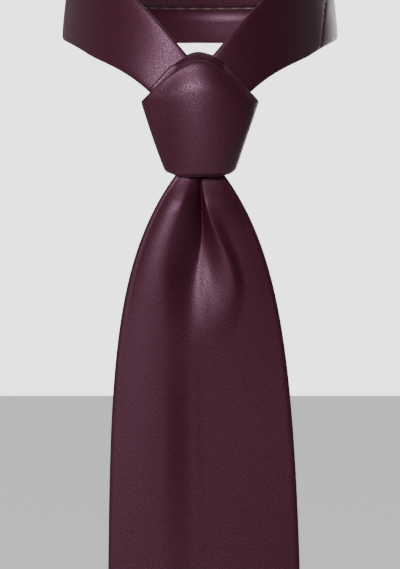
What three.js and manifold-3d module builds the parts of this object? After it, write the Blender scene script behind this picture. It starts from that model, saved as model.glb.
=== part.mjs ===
// A knotted necktie, as it hangs from a collar: a four-in-hand knot on a flat-folded satin strip.
//
// Millimetres, +Z up, front of the tie towards -Y.
// The origin is the centre of the neck opening, level with the top of the knot.
//
// A tie is one long envelope of bias-cut satin around an interlining. Tied, the same strip is seen
// as a neck loop, a knot, a wide blade in front and a narrow tail behind, so each stretch between
// two bends is a piece of its own here, and the pieces sewn into or onto it are separate too.

import * as THREE from "three";
import { mergeVertices } from "three/addons/utils/BufferGeometryUtils.js";
import Module from "manifold-3d";

const wasm = await Module();
wasm.setup();

// ---- cloth ----
const SATIN = 0.5; // outer cloth, as a wall
const INTERLINING = 1.0; // brushed wool interlining
const LINING = 0.3; // tipping cloth behind each tip
const GAP = 0.3; // air between layers that are laid on each other
const THREAD = 0.4; // sewing thread
const PAST = 1; // how far a cutting solid runs past what it cuts
const STRIP = 2 * SATIN + INTERLINING + LINING + 3 * GAP; // whole thickness of the folded strip

// ---- knot ----
const KNOT_HEIGHT = 52.5;
const SHOULDER_DROP = 19.5; // from the top of the knot to its widest visible level
const SHOULDER_WIDTH = 50.2;
const MOUTH_WIDTH = 28; // bottom of the knot, where the blade comes out
const CROWN_WIDTH = 34; // top of the knot
const WAIST = 0.8; // how far the knot's sides curve in between shoulder and mouth
const CROWN_DEPTH = 25; // front to back at the top
const MOUTH_DEPTH = 18; // front to back at the mouth
const KNOT_Y = -77.5; // middle of the knot, front to back
const WRAP = 3; // a wrap of the strip, drawn tight
const ARCH = 16; // how much lower the front wrap's top edge is at the sides than in the middle
const FRONT_WRAP_TOP = 2.5; // the over pass shows this far above the front wrap
const WRAP_SIDE = 98; // degrees from the front to where the front wrap turns behind
const REAR_WRAP_TOP = 22; // the rear wrap's upper and lower edges, from the top of the knot
const REAR_WRAP_BOTTOM = 48;
const OVER_PASS_WIDTH = 26; // the blade where it goes over the top
const OVER_PASS_REAR = 34; // how far the over pass reaches down behind the knot
const OVER_PASS_RISE = 2; // top of the over pass above the top of the knot
const OVER_PASS = 3.5; // the over pass is gathered, so it is thicker than the strip

// ---- wide blade ----
const BLADE_LENGTH = 460; // knot to tip
const BLADE_SHOULDER_WIDTH = 87.7; // widest, where the tip starts
const BLADE_SPREAD = 41; // distance in which the gathers open out to 63% of the width
const BLADE_TAPER = 0.017; // width gained per millimetre of length once the gathers are open
const BLADE_GATHER = 58; // width taken up by the gathers at the knot
const BLADE_BACK_OPENING = 130; // tip to the bar tack, where the back flaps part
const HEM = 7; // satin turned over the lining round the tip
const SEAM_SLIT = 1.0; // between the two back flaps
const PLEAT_LENGTH = 70; // knot to the end of the dimple
const PLEAT_RISE = 5; // how far the two rolls stand forward
const DIMPLE_DEPTH = 6; // valley between the rolls
const DIMPLE_WIDTH = 0.22; // share of the half width
const ROLL_START = 1; // the rolls start to rise this far below the forward axis,
const ROLL_FULL = 7; // and are at their fullest here
const PLEAT_THICKNESS = 4;

// ---- narrow tail ----
const TAIL_LENGTH = 300; // knot to tip
const TAIL_SHOULDER_WIDTH = 48;
const TAIL_TAPER = 0.03; // width gained per millimetre of length
const TAIL_GATHER = 14; // width taken up by the gather at the knot
const TAIL_SPREAD = 14;
const TAIL_BACK_OPENING = 62; // tip to the bar tack
const TAIL_CLEARANCE = 1.9; // between the back of the blade and the tail
const TAIL_DRAW = 150; // the tail can be drawn up this far through the knot

// ---- keeper, label, tag, bar tacks ----
const KEEPER_DROP = 220; // knot to the middle of the keeper
const KEEPER_HEIGHT = 14;
const KEEPER_CLOTH = 0.8; // doubled satin
const KEEPER_FOOT = 8; // sewn-down end
const KEEPER_SIDE_CLEARANCE = 1.6;
const KEEPER_BACK_CLEARANCE = 0.6;
const LABEL_WIDTH = 44;
const LABEL_HEIGHT = 18;
const LABEL_BELOW_KEEPER = 12;
const TAG_WIDTH = 12;
const TAG_HEIGHT = 22;
const BAR_TACK_WIDTH = 9;
const BAR_TACK_HEIGHT = 1.6;

// ---- throat: the first centimetre of the blade under the knot ----
const SWAY_AXIS_DROP = 1.5; // knot's lower edge to the sideways axis
const SWING_AXIS_DROP = 9.5; // knot's lower edge to the forward axis
const STEM_WIDTH = 8; // the part that reaches up into the knot
const STEM_REACH = 5.7; // above the sideways axis
const THROAT_WIDTH = 20;
const THROAT_TOP = 3.5; // knot's lower edge to the throat's wide part
const THROAT_DEPTH = 5.9; // from the front wrap's inner side to the back of the throat
const THROAT_SET_BACK = 0.5; // the front wrap curves in beside the middle of the throat
const HINGE_ROLL = 3; // radius of the rolled top of the blade, on the forward axis

// ---- neck loop ----
const NECK_WIDTH = 120; // inside the loop, side to side
const NECK_DEPTH = 132; // inside the loop, front to back, without the point in front
const POINT = 10; // the loop runs forward to the knot by this much
const BAND_WIDTH = 34;
const BAND_THICKNESS = 2 * SATIN + INTERLINING + 2 * GAP;
const BAND_STEP = 6; // length of each flat facet along the band
const BAND_LEAN = 0.1; // the upper edge leans in, as on a collar stand
const LOOP_START_DROP = 24; // middle of the band, in the knot, below the knot's top
const LOOP_RISE = 62; // from there to the back of the neck
const LOOP_EASE = 45; // distance along the band in which the rise reaches 63%
const STRAP_LENGTH = 50; // of each strap, from the middle of the knot, that lengthens as the knot slides
const SEAM_LEFT = 92; // piecing seams, along the band from the middle of the knot
const SEAM_RIGHT = 78;
const SEAM_SLANT = 0.9; // the seams run on the bias across the band

// ---- places that follow from the sizes ----
const MOUTH_Z = -KNOT_HEIGHT;
const BLADE_BACK_Y = KNOT_Y - 1.3;
const BLADE_FRONT_Y = BLADE_BACK_Y - STRIP;
const TAIL_FRONT_Y = BLADE_BACK_Y + TAIL_CLEARANCE;
const TAIL_BACK_Y = TAIL_FRONT_Y + STRIP;
const CAVITY_FRONT_Y = KNOT_Y - MOUTH_DEPTH / 2 + WRAP + GAP;
const SWING_AXIS_Y = CAVITY_FRONT_Y + THROAT_DEPTH / 2;
const SWING_AXIS_Z = MOUTH_Z - SWING_AXIS_DROP;
const TAIL_ROOT = 13.5; // knot's lower edge to where the tail starts to shorten
const TAIL_FREE_TOP = TAIL_ROOT + TAIL_DRAW + 2; // knot's lower edge to the part that keeps its shape

// ---- materials ----
const satin = new THREE.MeshStandardMaterial({ color: 0x4a2733, roughness: 0.45, metalness: 0 });
const satinInside = new THREE.MeshStandardMaterial({ color: 0x3c1f29, roughness: 0.6, metalness: 0 });
const wool = new THREE.MeshStandardMaterial({ color: 0xd8d2c4, roughness: 0.95, metalness: 0 });
const lining = new THREE.MeshStandardMaterial({ color: 0x2c151e, roughness: 0.5, metalness: 0 });
const thread = new THREE.MeshStandardMaterial({ color: 0x5a2f3d, roughness: 0.7, metalness: 0 });
const labelCloth = new THREE.MeshStandardMaterial({ color: 0x1d1a22, roughness: 0.6, metalness: 0 });
const tagCloth = new THREE.MeshStandardMaterial({ color: 0xe9e6df, roughness: 0.6, metalness: 0 });

// ---- helpers: meshes ----

const tie = new THREE.Group();

function addPiece(name, geometry, material) {
  const mesh = new THREE.Mesh(geometry, material);
  mesh.name = name;
  tie.add(mesh);
}

function mix(a, b, t) {
  return a + (b - a) * t;
}

// A closed solid between two sheets of points: front(u, v) and back(u, v), with u and v from 0 to 1.
function thickSheet(columns, rows, front, back) {
  const positions = [];
  for (const sheet of [front, back])
    for (let j = 0; j <= rows; j++)
      for (let i = 0; i <= columns; i++) positions.push(...sheet(i / columns, j / rows));
  const at = (side, i, j) => side * (columns + 1) * (rows + 1) + j * (columns + 1) + i;
  const index = [];
  const quad = (a, b, c, d) => index.push(a, b, c, a, c, d);
  for (let j = 0; j < rows; j++)
    for (let i = 0; i < columns; i++) {
      quad(at(0, i, j), at(0, i + 1, j), at(0, i + 1, j + 1), at(0, i, j + 1));
      quad(at(1, i, j), at(1, i, j + 1), at(1, i + 1, j + 1), at(1, i + 1, j));
    }
  for (let i = 0; i < columns; i++) {
    quad(at(0, i, 0), at(1, i, 0), at(1, i + 1, 0), at(0, i + 1, 0));
    quad(at(0, i, rows), at(0, i + 1, rows), at(1, i + 1, rows), at(1, i, rows));
  }
  for (let j = 0; j < rows; j++) {
    quad(at(0, 0, j), at(0, 0, j + 1), at(1, 0, j + 1), at(1, 0, j));
    quad(at(0, columns, j), at(1, columns, j), at(1, columns, j + 1), at(0, columns, j + 1));
  }
  const geometry = new THREE.BufferGeometry();
  geometry.setAttribute("position", new THREE.Float32BufferAttribute(positions, 3));
  geometry.setIndex(index);
  return facingOut(geometry);
}

// The same geometry, with its faces turned round if they point inwards.
function facingOut(geometry) {
  const p = geometry.getAttribute("position");
  const index = geometry.index.array;
  const [a, b, c] = [new THREE.Vector3(), new THREE.Vector3(), new THREE.Vector3()];
  let volume = 0;
  for (let i = 0; i < index.length; i += 3) {
    a.fromBufferAttribute(p, index[i]);
    b.fromBufferAttribute(p, index[i + 1]);
    c.fromBufferAttribute(p, index[i + 2]);
    volume += a.dot(b.cross(c));
  }
  if (volume < 0) for (let i = 0; i < index.length; i += 3) [index[i], index[i + 1]] = [index[i + 1], index[i]];
  return geometry;
}

// An outline in X and Z, as a plate that reaches from frontY back to backY.
function plate(points, frontY, backY) {
  const shape = new THREE.Shape(points.map(([x, z]) => new THREE.Vector2(x, z)));
  const geometry = new THREE.ExtrudeGeometry(shape, { depth: backY - frontY, bevelEnabled: false });
  return geometry.rotateX(Math.PI / 2).translate(0, backY, 0);
}

function box(x0, x1, y0, y1, z0, z1) {
  const geometry = new THREE.BoxGeometry(x1 - x0, y1 - y0, z1 - z0);
  return geometry.translate((x0 + x1) / 2, (y0 + y1) / 2, (z0 + z1) / 2);
}

function toSolid(geometry) {
  const bare = new THREE.BufferGeometry();
  bare.setAttribute("position", geometry.getAttribute("position"));
  if (geometry.index) bare.setIndex(geometry.index);
  const merged = mergeVertices(bare, 1e-4);
  return new wasm.Manifold(
    new wasm.Mesh({
      numProp: 3,
      vertProperties: merged.getAttribute("position").array,
      triVerts: new Uint32Array(merged.index.array),
    }),
  );
}

function toGeometry(solid) {
  const mesh = solid.getMesh();
  const geometry = new THREE.BufferGeometry();
  geometry.setAttribute("position", new THREE.BufferAttribute(mesh.vertProperties, 3));
  geometry.setIndex(new THREE.BufferAttribute(mesh.triVerts, 1));
  return geometry;
}

function cut(geometry, ...tools) {
  return toGeometry(tools.reduce((solid, tool) => solid.subtract(toSolid(tool)), toSolid(geometry)));
}

function shared(geometry, other) {
  return toGeometry(toSolid(geometry).intersect(toSolid(other)));
}

// ---- the knot's envelope ----

// Half width of the knot at a level, drop millimetres below its top.
function knotHalfWidth(drop) {
  if (drop < SHOULDER_DROP) {
    const up = (SHOULDER_DROP - drop) / SHOULDER_DROP;
    return mix(CROWN_WIDTH, SHOULDER_WIDTH, Math.sqrt(1 - Math.min(1, up) ** 2)) / 2;
  }
  const t = (drop - SHOULDER_DROP) / (KNOT_HEIGHT - SHOULDER_DROP);
  return mix(SHOULDER_WIDTH, MOUTH_WIDTH, t) / 2 - WAIST * 4 * t * (1 - t);
}

function knotHalfDepth(drop) {
  return mix(CROWN_DEPTH, MOUTH_DEPTH, drop / KNOT_HEIGHT) / 2;
}

// A point on the knot's envelope, angle radians round from the front, moved in by inset.
function onKnot(angle, drop, inset) {
  const x = Math.sin(angle) * (knotHalfWidth(drop) - inset);
  const y = KNOT_Y - Math.cos(angle) * (knotHalfDepth(drop) - inset);
  return [x, y, -drop];
}

// The whole envelope as a solid, moved in by inset, between two levels.
function knotEnvelope(inset, fromDrop, toDrop) {
  const ROUND = 40;
  const LEVELS = 14;
  const positions = [];
  for (let j = 0; j <= LEVELS; j++)
    for (let i = 0; i < ROUND; i++)
      positions.push(...onKnot((i / ROUND) * 2 * Math.PI, mix(fromDrop, toDrop, j / LEVELS), inset));
  const top = positions.length / 3;
  positions.push(0, KNOT_Y, -fromDrop, 0, KNOT_Y, -toDrop);
  const index = [];
  for (let i = 0; i < ROUND; i++) {
    const k = (i + 1) % ROUND;
    for (let j = 0; j < LEVELS; j++) {
      const [a, b, c, d] = [j * ROUND + i, j * ROUND + k, (j + 1) * ROUND + k, (j + 1) * ROUND + i];
      index.push(a, c, b, a, d, c);
    }
    index.push(top, i, k, top + 1, LEVELS * ROUND + k, LEVELS * ROUND + i);
  }
  const geometry = new THREE.BufferGeometry();
  geometry.setAttribute("position", new THREE.Float32BufferAttribute(positions, 3));
  geometry.setIndex(index);
  return facingOut(geometry);
}

// ---- knot pieces ----

// Level of the front wrap's upper edge at an angle: an arch, highest in the middle.
function archDrop(angle) {
  return FRONT_WRAP_TOP + ARCH * Math.sin(angle) ** 2;
}

// The front wrap between two insets, with its upper edge raised and its ends moved on by spare.
function frontWrapWall(outerInset, innerInset, spare) {
  const side = THREE.MathUtils.degToRad(WRAP_SIDE) + spare / MOUTH_DEPTH;
  const wall = (inset) => (u, v) => {
    const angle = mix(-side, side, u);
    return onKnot(angle, mix(KNOT_HEIGHT + spare, archDrop(angle) - spare, v), inset);
  };
  return thickSheet(28, 10, wall(outerInset), wall(innerInset));
}

// The rear wrap in the same way: it goes round the back from one end of the front wrap to the other.
function rearWrapWall(outerInset, innerInset, spare) {
  const start = THREE.MathUtils.degToRad(WRAP_SIDE + 5) - spare / MOUTH_DEPTH;
  const wall = (inset) => (u, v) =>
    onKnot(mix(start, 2 * Math.PI - start, u), mix(REAR_WRAP_BOTTOM + spare, REAR_WRAP_TOP - spare, v), inset);
  return thickSheet(18, 4, wall(outerInset), wall(innerInset));
}

// The blade goes up behind the knot, over its top and down inside the front wrap: an upside-down U.
// The band is so wide and grown by spare on both of its faces.
function overPassBand(width, spare) {
  const rearY = KNOT_Y + knotHalfDepth(REAR_WRAP_TOP) + GAP + OVER_PASS / 2;
  const frontY = CAVITY_FRONT_Y + OVER_PASS / 2;
  const radius = (rearY - frontY) / 2;
  const middleY = (rearY + frontY) / 2;
  const springZ = OVER_PASS_RISE - OVER_PASS / 2 - radius;
  const frontEndZ = MOUTH_Z - SWAY_AXIS_DROP + STEM_REACH + GAP;
  const path = new THREE.CurvePath();
  const corner = (y, z) => new THREE.Vector3(0, y, z);
  path.add(new THREE.LineCurve3(corner(rearY, -OVER_PASS_REAR), corner(rearY, springZ)));
  const BEND = 8;
  for (let i = 0; i < BEND; i++) {
    const at = (k) => corner(middleY + radius * Math.cos((k / BEND) * Math.PI), springZ + radius * Math.sin((k / BEND) * Math.PI));
    path.add(new THREE.LineCurve3(at(i), at(i + 1)));
  }
  path.add(new THREE.LineCurve3(corner(frontY, springZ), corner(frontY, frontEndZ)));
  const stations = path.curves.length;
  const face = (side) => (u, v) => {
    const k = Math.min(stations, Math.round(v * stations));
    const before = path.curves[Math.max(0, k - 1)];
    const after = path.curves[Math.min(stations - 1, k)];
    const place = k === 0 ? after.v1 : before.v2;
    const along = before.getTangent(0).add(after.getTangent(0)).normalize();
    const half = (side * (OVER_PASS / 2 + spare)) / Math.max(0.5, along.dot(after.getTangent(0)));
    return [mix(-width, width, u) / 2, place.y + half * along.z, place.z - half * along.y];
  };
  return thickSheet(4, stations, face(-1), face(1));
}

function overPass() {
  const whole = overPassBand(OVER_PASS_WIDTH, 0);
  // Inside the front wrap it is squeezed to the shape of the cavity; above and behind it keeps its width.
  const outside = box(-NECK_WIDTH, NECK_WIDTH, KNOT_Y, 0, -NECK_WIDTH, NECK_WIDTH);
  const above = box(-NECK_WIDTH, NECK_WIDTH, -NECK_DEPTH, KNOT_Y, -FRONT_WRAP_TOP + GAP, NECK_WIDTH);
  const cavity = knotEnvelope(WRAP + GAP, 0, KNOT_HEIGHT);
  const allowed = toGeometry(toSolid(outside).add(toSolid(above)).add(toSolid(cavity)));
  return shared(whole, allowed);
}

// A layer of the strip inside the knot: a slab between two levels, cut to the knot's shape and
// clear of the front wrap and the over pass.
function innerLayer(frontY, backY, fromDrop, toDrop) {
  const slab = box(-NECK_WIDTH, NECK_WIDTH, frontY, backY, -toDrop, -fromDrop);
  const inKnot = shared(slab, knotEnvelope(0, 0, KNOT_HEIGHT));
  const wraps = [frontWrapWall(-WRAP, WRAP + GAP, GAP), rearWrapWall(-WRAP, WRAP + GAP, GAP)];
  return cut(inKnot, ...wraps, overPassBand(2 * SHOULDER_WIDTH, GAP));
}

const crossFrontY = CAVITY_FRONT_Y + OVER_PASS + GAP;
const crossBackY = TAIL_FRONT_Y - GAP;
addPiece("knot_front_wrap", frontWrapWall(0, WRAP, 0), satin);
addPiece("knot_rear_wrap", rearWrapWall(0, WRAP, 0), satin);
addPiece("knot_over_pass", overPass(), satin);
addPiece("knot_strap_crossing", innerLayer(crossFrontY, crossBackY, FRONT_WRAP_TOP, SHOULDER_DROP - GAP), satin);
addPiece("knot_first_cross", innerLayer(crossFrontY, crossBackY, SHOULDER_DROP, KNOT_HEIGHT - 6.5), satin);
addPiece("knot_tail_pass", innerLayer(TAIL_FRONT_Y, TAIL_BACK_Y, FRONT_WRAP_TOP, KNOT_HEIGHT - GAP), satin);

// ---- throat ----

// The gathered neck of the blade: a stem with a round top, centred on the sideways axis, on a wider foot.
function throat() {
  const axisZ = MOUTH_Z - SWAY_AXIS_DROP;
  const footTop = MOUTH_Z - THROAT_TOP;
  const footBottom = SWING_AXIS_Z + HINGE_ROLL + GAP;
  const lean = Math.asin(STEM_WIDTH / 2 / STEM_REACH);
  const STEPS = 8;
  const top = [];
  for (let i = 0; i <= STEPS; i++) {
    const angle = mix(lean, -lean, i / STEPS);
    top.push([STEM_REACH * Math.sin(angle), axisZ + STEM_REACH * Math.cos(angle)]);
  }
  const outline = [
    [-STEM_WIDTH / 2, footTop],
    [-THROAT_WIDTH / 2, footTop],
    [-THROAT_WIDTH / 2, footBottom],
    [THROAT_WIDTH / 2, footBottom],
    [THROAT_WIDTH / 2, footTop],
    [STEM_WIDTH / 2, footTop],
  ];
  return plate([...outline, ...top], CAVITY_FRONT_Y + THROAT_SET_BACK, CAVITY_FRONT_Y + THROAT_DEPTH);
}
addPiece("blade_throat", throat(), satin);

// ---- the wide blade ----

// Half width of the blade, drop millimetres below the knot.
function bladeHalfWidth(drop) {
  const shoulder = BLADE_LENGTH - BLADE_SHOULDER_WIDTH / 2;
  const open = BLADE_SHOULDER_WIDTH - BLADE_TAPER * (shoulder - drop);
  return (open - BLADE_GATHER * Math.exp(-drop / BLADE_SPREAD)) / 2;
}

// Half width of the tail, drop millimetres below the knot.
function tailHalfWidth(drop) {
  const shoulder = TAIL_LENGTH - TAIL_SHOULDER_WIDTH / 2;
  const open = TAIL_SHOULDER_WIDTH - TAIL_TAPER * (shoulder - drop);
  return (open - TAIL_GATHER * Math.exp(-drop / TAIL_SPREAD)) / 2;
}

// Outline of a pointed strip in X and Z: straight top, tapering sides, a right-angled tip. The sides and
// the tip are moved in by inset, and the outline starts fromDrop below the knot.
function stripOutline(halfWidth, length, fromDrop, inset) {
  const STEPS = 10;
  const shoulderDrop = length - halfWidth(length);
  const right = [];
  for (let i = 0; i <= STEPS; i++) {
    const drop = mix(fromDrop, shoulderDrop, i / STEPS);
    right.push([halfWidth(drop) - inset, MOUTH_Z - drop]);
  }
  const shoulderIn = inset * (Math.SQRT2 - 1);
  right[STEPS][1] += shoulderIn;
  const tip = [0, MOUTH_Z - length + inset * Math.SQRT2];
  const left = right.map(([x, z]) => [-x, z]).reverse();
  return [...right, tip, ...left];
}

// The satin envelope: front, folded edges and two back flaps that part above the tip, open at the top.
function envelope(halfWidth, length, fromDrop, frontY, opening) {
  const backY = frontY + STRIP;
  const outer = plate(stripOutline(halfWidth, length, fromDrop, 0), frontY, backY);
  const room = plate(stripOutline(halfWidth, length, fromDrop - PAST, SATIN), frontY + SATIN, backY - SATIN);
  const apexZ = MOUTH_Z - length + opening;
  const [inside, behind] = [backY - SATIN - GAP, backY + PAST];
  const half = SEAM_SLIT / 2;
  const slit = box(-half, half, inside, behind, apexZ - PAST, MOUTH_Z - fromDrop + PAST);
  const shoulder = length - halfWidth(length);
  const side = halfWidth(shoulder) - HEM;
  const sideZ = MOUTH_Z - shoulder + HEM * (Math.SQRT2 - 1);
  const mouth = [
    [-half, apexZ],
    [-side, sideZ],
    [0, MOUTH_Z - length + HEM * Math.SQRT2],
    [side, sideZ],
    [half, apexZ],
  ];
  return cut(outer, room, slit, plate(mouth, inside, behind));
}

function interlining(halfWidth, length, fromDrop, frontY) {
  const front = frontY + SATIN + GAP;
  return plate(stripOutline(halfWidth, length, fromDrop, SATIN + GAP), front, front + INTERLINING);
}

// Lining cloth behind the tip, reaching up a little past the bar tack.
function tipping(halfWidth, length, opening, frontY) {
  const back = frontY + STRIP - SATIN - GAP;
  const outline = stripOutline(halfWidth, length, length - opening - BAR_TACK_WIDTH, SATIN + GAP);
  return plate(outline, back - LINING, back);
}

// The long slip stitch that holds the back flaps together lies in the slit between them.
function slipStitch(length, fromDrop, frontY, opening) {
  const backY = frontY + STRIP;
  const [low, high] = [MOUTH_Z - length + opening + BAR_TACK_HEIGHT, MOUTH_Z - fromDrop];
  return box(-THREAD / 2, THREAD / 2, backY - SATIN, backY - SATIN + THREAD, low, high);
}

function barTack(length, frontY, opening) {
  const backY = frontY + STRIP;
  const middle = MOUTH_Z - length + opening;
  const half = BAR_TACK_WIDTH / 2;
  return box(-half, half, backY, backY + THREAD, middle, middle + BAR_TACK_HEIGHT);
}

// The gathered head of the blade: two rolls with the dimple between them, on a rolled top edge.
function pleatFade(drop) {
  const t = THREE.MathUtils.clamp((drop - SWING_AXIS_DROP) / (PLEAT_LENGTH - SWING_AXIS_DROP), 0, 1);
  return THREE.MathUtils.smoothstep(drop, SWING_AXIS_DROP + ROLL_START, SWING_AXIS_DROP + ROLL_FULL) * (1 - t);
}

function pleatForward(across, drop) {
  const roll = PLEAT_RISE * (1 - across ** 4);
  const dimple = DIMPLE_DEPTH * Math.exp(-((across / DIMPLE_WIDTH) ** 2));
  return (roll - dimple) * pleatFade(drop);
}

function bladePleat() {
  const level = (v) => mix(SWING_AXIS_DROP, PLEAT_LENGTH - GAP, v);
  const front = (u, v) => {
    const across = 2 * u - 1;
    const drop = level(v);
    return [across * bladeHalfWidth(drop), BLADE_FRONT_Y - pleatForward(across, drop), MOUTH_Z - drop];
  };
  const back = (u, v) => {
    const [x, y, z] = front(u, v);
    return [x, Math.min(BLADE_BACK_Y, y + mix(PLEAT_THICKNESS, STRIP, v)), z];
  };
  const roll = new THREE.CylinderGeometry(HINGE_ROLL, HINGE_ROLL, THROAT_WIDTH, 20);
  roll.rotateZ(Math.PI / 2).translate(0, SWING_AXIS_Y, SWING_AXIS_Z);
  return toGeometry(toSolid(thickSheet(20, 16, front, back)).add(toSolid(roll)));
}

addPiece("blade_pleat", bladePleat(), satin);
addPiece("blade_envelope", envelope(bladeHalfWidth, BLADE_LENGTH, PLEAT_LENGTH, BLADE_FRONT_Y, BLADE_BACK_OPENING), satin);
addPiece("blade_interlining", interlining(bladeHalfWidth, BLADE_LENGTH, PLEAT_LENGTH, BLADE_FRONT_Y), wool);
addPiece("blade_tipping", tipping(bladeHalfWidth, BLADE_LENGTH, BLADE_BACK_OPENING, BLADE_FRONT_Y), lining);
addPiece("blade_slip_stitch", slipStitch(BLADE_LENGTH, PLEAT_LENGTH, BLADE_FRONT_Y, BLADE_BACK_OPENING), thread);
addPiece("blade_bar_tack", barTack(BLADE_LENGTH, BLADE_FRONT_Y, BLADE_BACK_OPENING), thread);

// ---- keeper, label and care tag, sewn to the back of the blade ----

// The keeper is a strap sewn down at both ends, with the tail between it and the blade. This is its
// section from above, drawn from the right foot round to the left one and back along the inside.
function keeper() {
  const inside = TAIL_SHOULDER_WIDTH / 2 + KEEPER_SIDE_CLEARANCE;
  const outside = inside + KEEPER_CLOTH;
  const footEnd = outside + KEEPER_FOOT;
  const sewn = BLADE_BACK_Y + GAP;
  const under = TAIL_BACK_Y + KEEPER_BACK_CLEARANCE;
  const right = [
    [footEnd, sewn],
    [footEnd, sewn + KEEPER_CLOTH],
    [outside, sewn + KEEPER_CLOTH],
    [outside, under + KEEPER_CLOTH],
  ];
  const innerRight = [
    [inside, under],
    [inside, sewn],
  ];
  const mirrored = (points) => points.map(([x, y]) => [-x, y]).reverse();
  const outline = [...right, ...mirrored(right), ...mirrored(innerRight), ...innerRight];
  const shape = new THREE.Shape(outline.map(([x, y]) => new THREE.Vector2(x, y)));
  const geometry = new THREE.ExtrudeGeometry(shape, { depth: KEEPER_HEIGHT, bevelEnabled: false });
  return geometry.translate(0, 0, MOUTH_Z - KEEPER_DROP - KEEPER_HEIGHT / 2);
}

function sewnPatch(width, height, topDrop, layer) {
  const top = MOUTH_Z - topDrop;
  return box(-width / 2, width / 2, BLADE_BACK_Y + layer, BLADE_BACK_Y + layer + LINING, top - height, top);
}

const labelTop = KEEPER_DROP + KEEPER_HEIGHT / 2 + LABEL_BELOW_KEEPER;
addPiece("keeper_loop", keeper(), satin);
addPiece("blank_label", sewnPatch(LABEL_WIDTH, LABEL_HEIGHT, labelTop, GAP), labelCloth);
addPiece("care_tag", sewnPatch(TAG_WIDTH, TAG_HEIGHT, labelTop + LABEL_HEIGHT + GAP, GAP), tagCloth);

// ---- the narrow tail, hanging behind the blade and through the keeper ----

function tailHead() {
  const level = (v) => mix(GAP, TAIL_FREE_TOP - GAP, v);
  const sheet = (y) => (u, v) => [(2 * u - 1) * tailHalfWidth(level(v)), y, MOUTH_Z - level(v)];
  return thickSheet(4, 12, sheet(TAIL_FRONT_Y), sheet(TAIL_BACK_Y));
}

addPiece("tail_head", tailHead(), satin);
addPiece("tail_envelope", envelope(tailHalfWidth, TAIL_LENGTH, TAIL_FREE_TOP, TAIL_FRONT_Y, TAIL_BACK_OPENING), satin);
addPiece("tail_interlining", interlining(tailHalfWidth, TAIL_LENGTH, TAIL_FREE_TOP, TAIL_FRONT_Y), wool);
addPiece("tail_tipping", tipping(tailHalfWidth, TAIL_LENGTH, TAIL_BACK_OPENING, TAIL_FRONT_Y), lining);
addPiece("tail_slip_stitch", slipStitch(TAIL_LENGTH, TAIL_FREE_TOP, TAIL_FRONT_Y, TAIL_BACK_OPENING), thread);
addPiece("tail_bar_tack", barTack(TAIL_LENGTH, TAIL_FRONT_Y, TAIL_BACK_OPENING), thread);

// ---- the neck loop ----

// Seen from above, the loop is an ellipse with a point that runs forward to the knot.
function loopPlan(angle) {
  const forward = POINT * Math.max(0, Math.cos(angle)) ** 4;
  return [(NECK_WIDTH / 2) * Math.sin(angle), (-NECK_DEPTH / 2) * Math.cos(angle) - forward];
}

// Distance along the plan from the front, at even steps of angle, for going from distance to angle.
const PLAN_STEPS = 720;
const planDistance = [0];
for (let i = 1; i <= PLAN_STEPS; i++) {
  const [x0, y0] = loopPlan(((i - 1) / PLAN_STEPS) * Math.PI);
  const [x1, y1] = loopPlan((i / PLAN_STEPS) * Math.PI);
  planDistance.push(planDistance[i - 1] + Math.hypot(x1 - x0, y1 - y0));
}
const HALF_LOOP = planDistance[PLAN_STEPS];

function planAngle(distance) {
  const d = Math.abs(distance);
  if (d >= HALF_LOOP) return Math.sign(distance) * (2 * Math.PI - planAngle(2 * HALF_LOOP - d));
  let i = 1;
  while (planDistance[i] < d) i++;
  const share = (d - planDistance[i - 1]) / (planDistance[i] - planDistance[i - 1]);
  return (Math.sign(distance) * (i - 1 + share) * Math.PI) / PLAN_STEPS;
}

// Height of the band's middle, along the band from the knot, and its slope.
function bandHeight(distance) {
  return LOOP_RISE * (1 - Math.exp(-Math.abs(distance) / LOOP_EASE)) - LOOP_START_DROP;
}

function bandSlope(distance) {
  return (Math.sign(distance) * LOOP_RISE * Math.exp(-Math.abs(distance) / LOOP_EASE)) / LOOP_EASE;
}

// A point on the loop: distance along it from the knot, across it from its middle, and outwards.
function onLoop(distance, across, out) {
  const around = Math.min(Math.abs(distance), 2 * HALF_LOOP - Math.abs(distance)) * Math.sign(distance);
  const tilt = Math.atan(bandSlope(around)) * (Math.abs(distance) > HALF_LOOP ? -1 : 1);
  const s = distance - across * Math.sin(tilt);
  const angle = planAngle(s);
  const [x, y] = loopPlan(angle);
  const [ax, ay] = loopPlan(angle + 1e-3);
  const norm = Math.hypot(ax - x, ay - y);
  const push = out - across * BAND_LEAN;
  return [x + (push * (ay - y)) / norm, y - (push * (ax - x)) / norm, bandHeight(around) + across * Math.cos(tilt)];
}

// A stretch of the band between two distances. Its ends slant by so much per millimetre across.
function bandStretch(from, to, slantFrom, slantTo, inset) {
  const half = BAND_WIDTH / 2 - inset;
  const rows = Math.ceil(Math.abs(to - from) / BAND_STEP);
  const face = (out) => (u, v) => {
    const across = mix(-half, half, u);
    return onLoop(mix(from + slantFrom * across, to + slantTo * across, v), across, out);
  };
  return thickSheet(6, rows, face(inset), face(BAND_THICKNESS - inset));
}

// The same stretch as an open-ended envelope, with room for the interlining.
function bandEnvelope(from, to, slantFrom, slantTo) {
  const direction = Math.sign(to - from);
  const outer = bandStretch(from, to, slantFrom, slantTo, 0);
  const room = bandStretch(from - direction * PAST, to + direction * PAST, slantFrom, slantTo, SATIN);
  return cut(outer, room);
}

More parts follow.
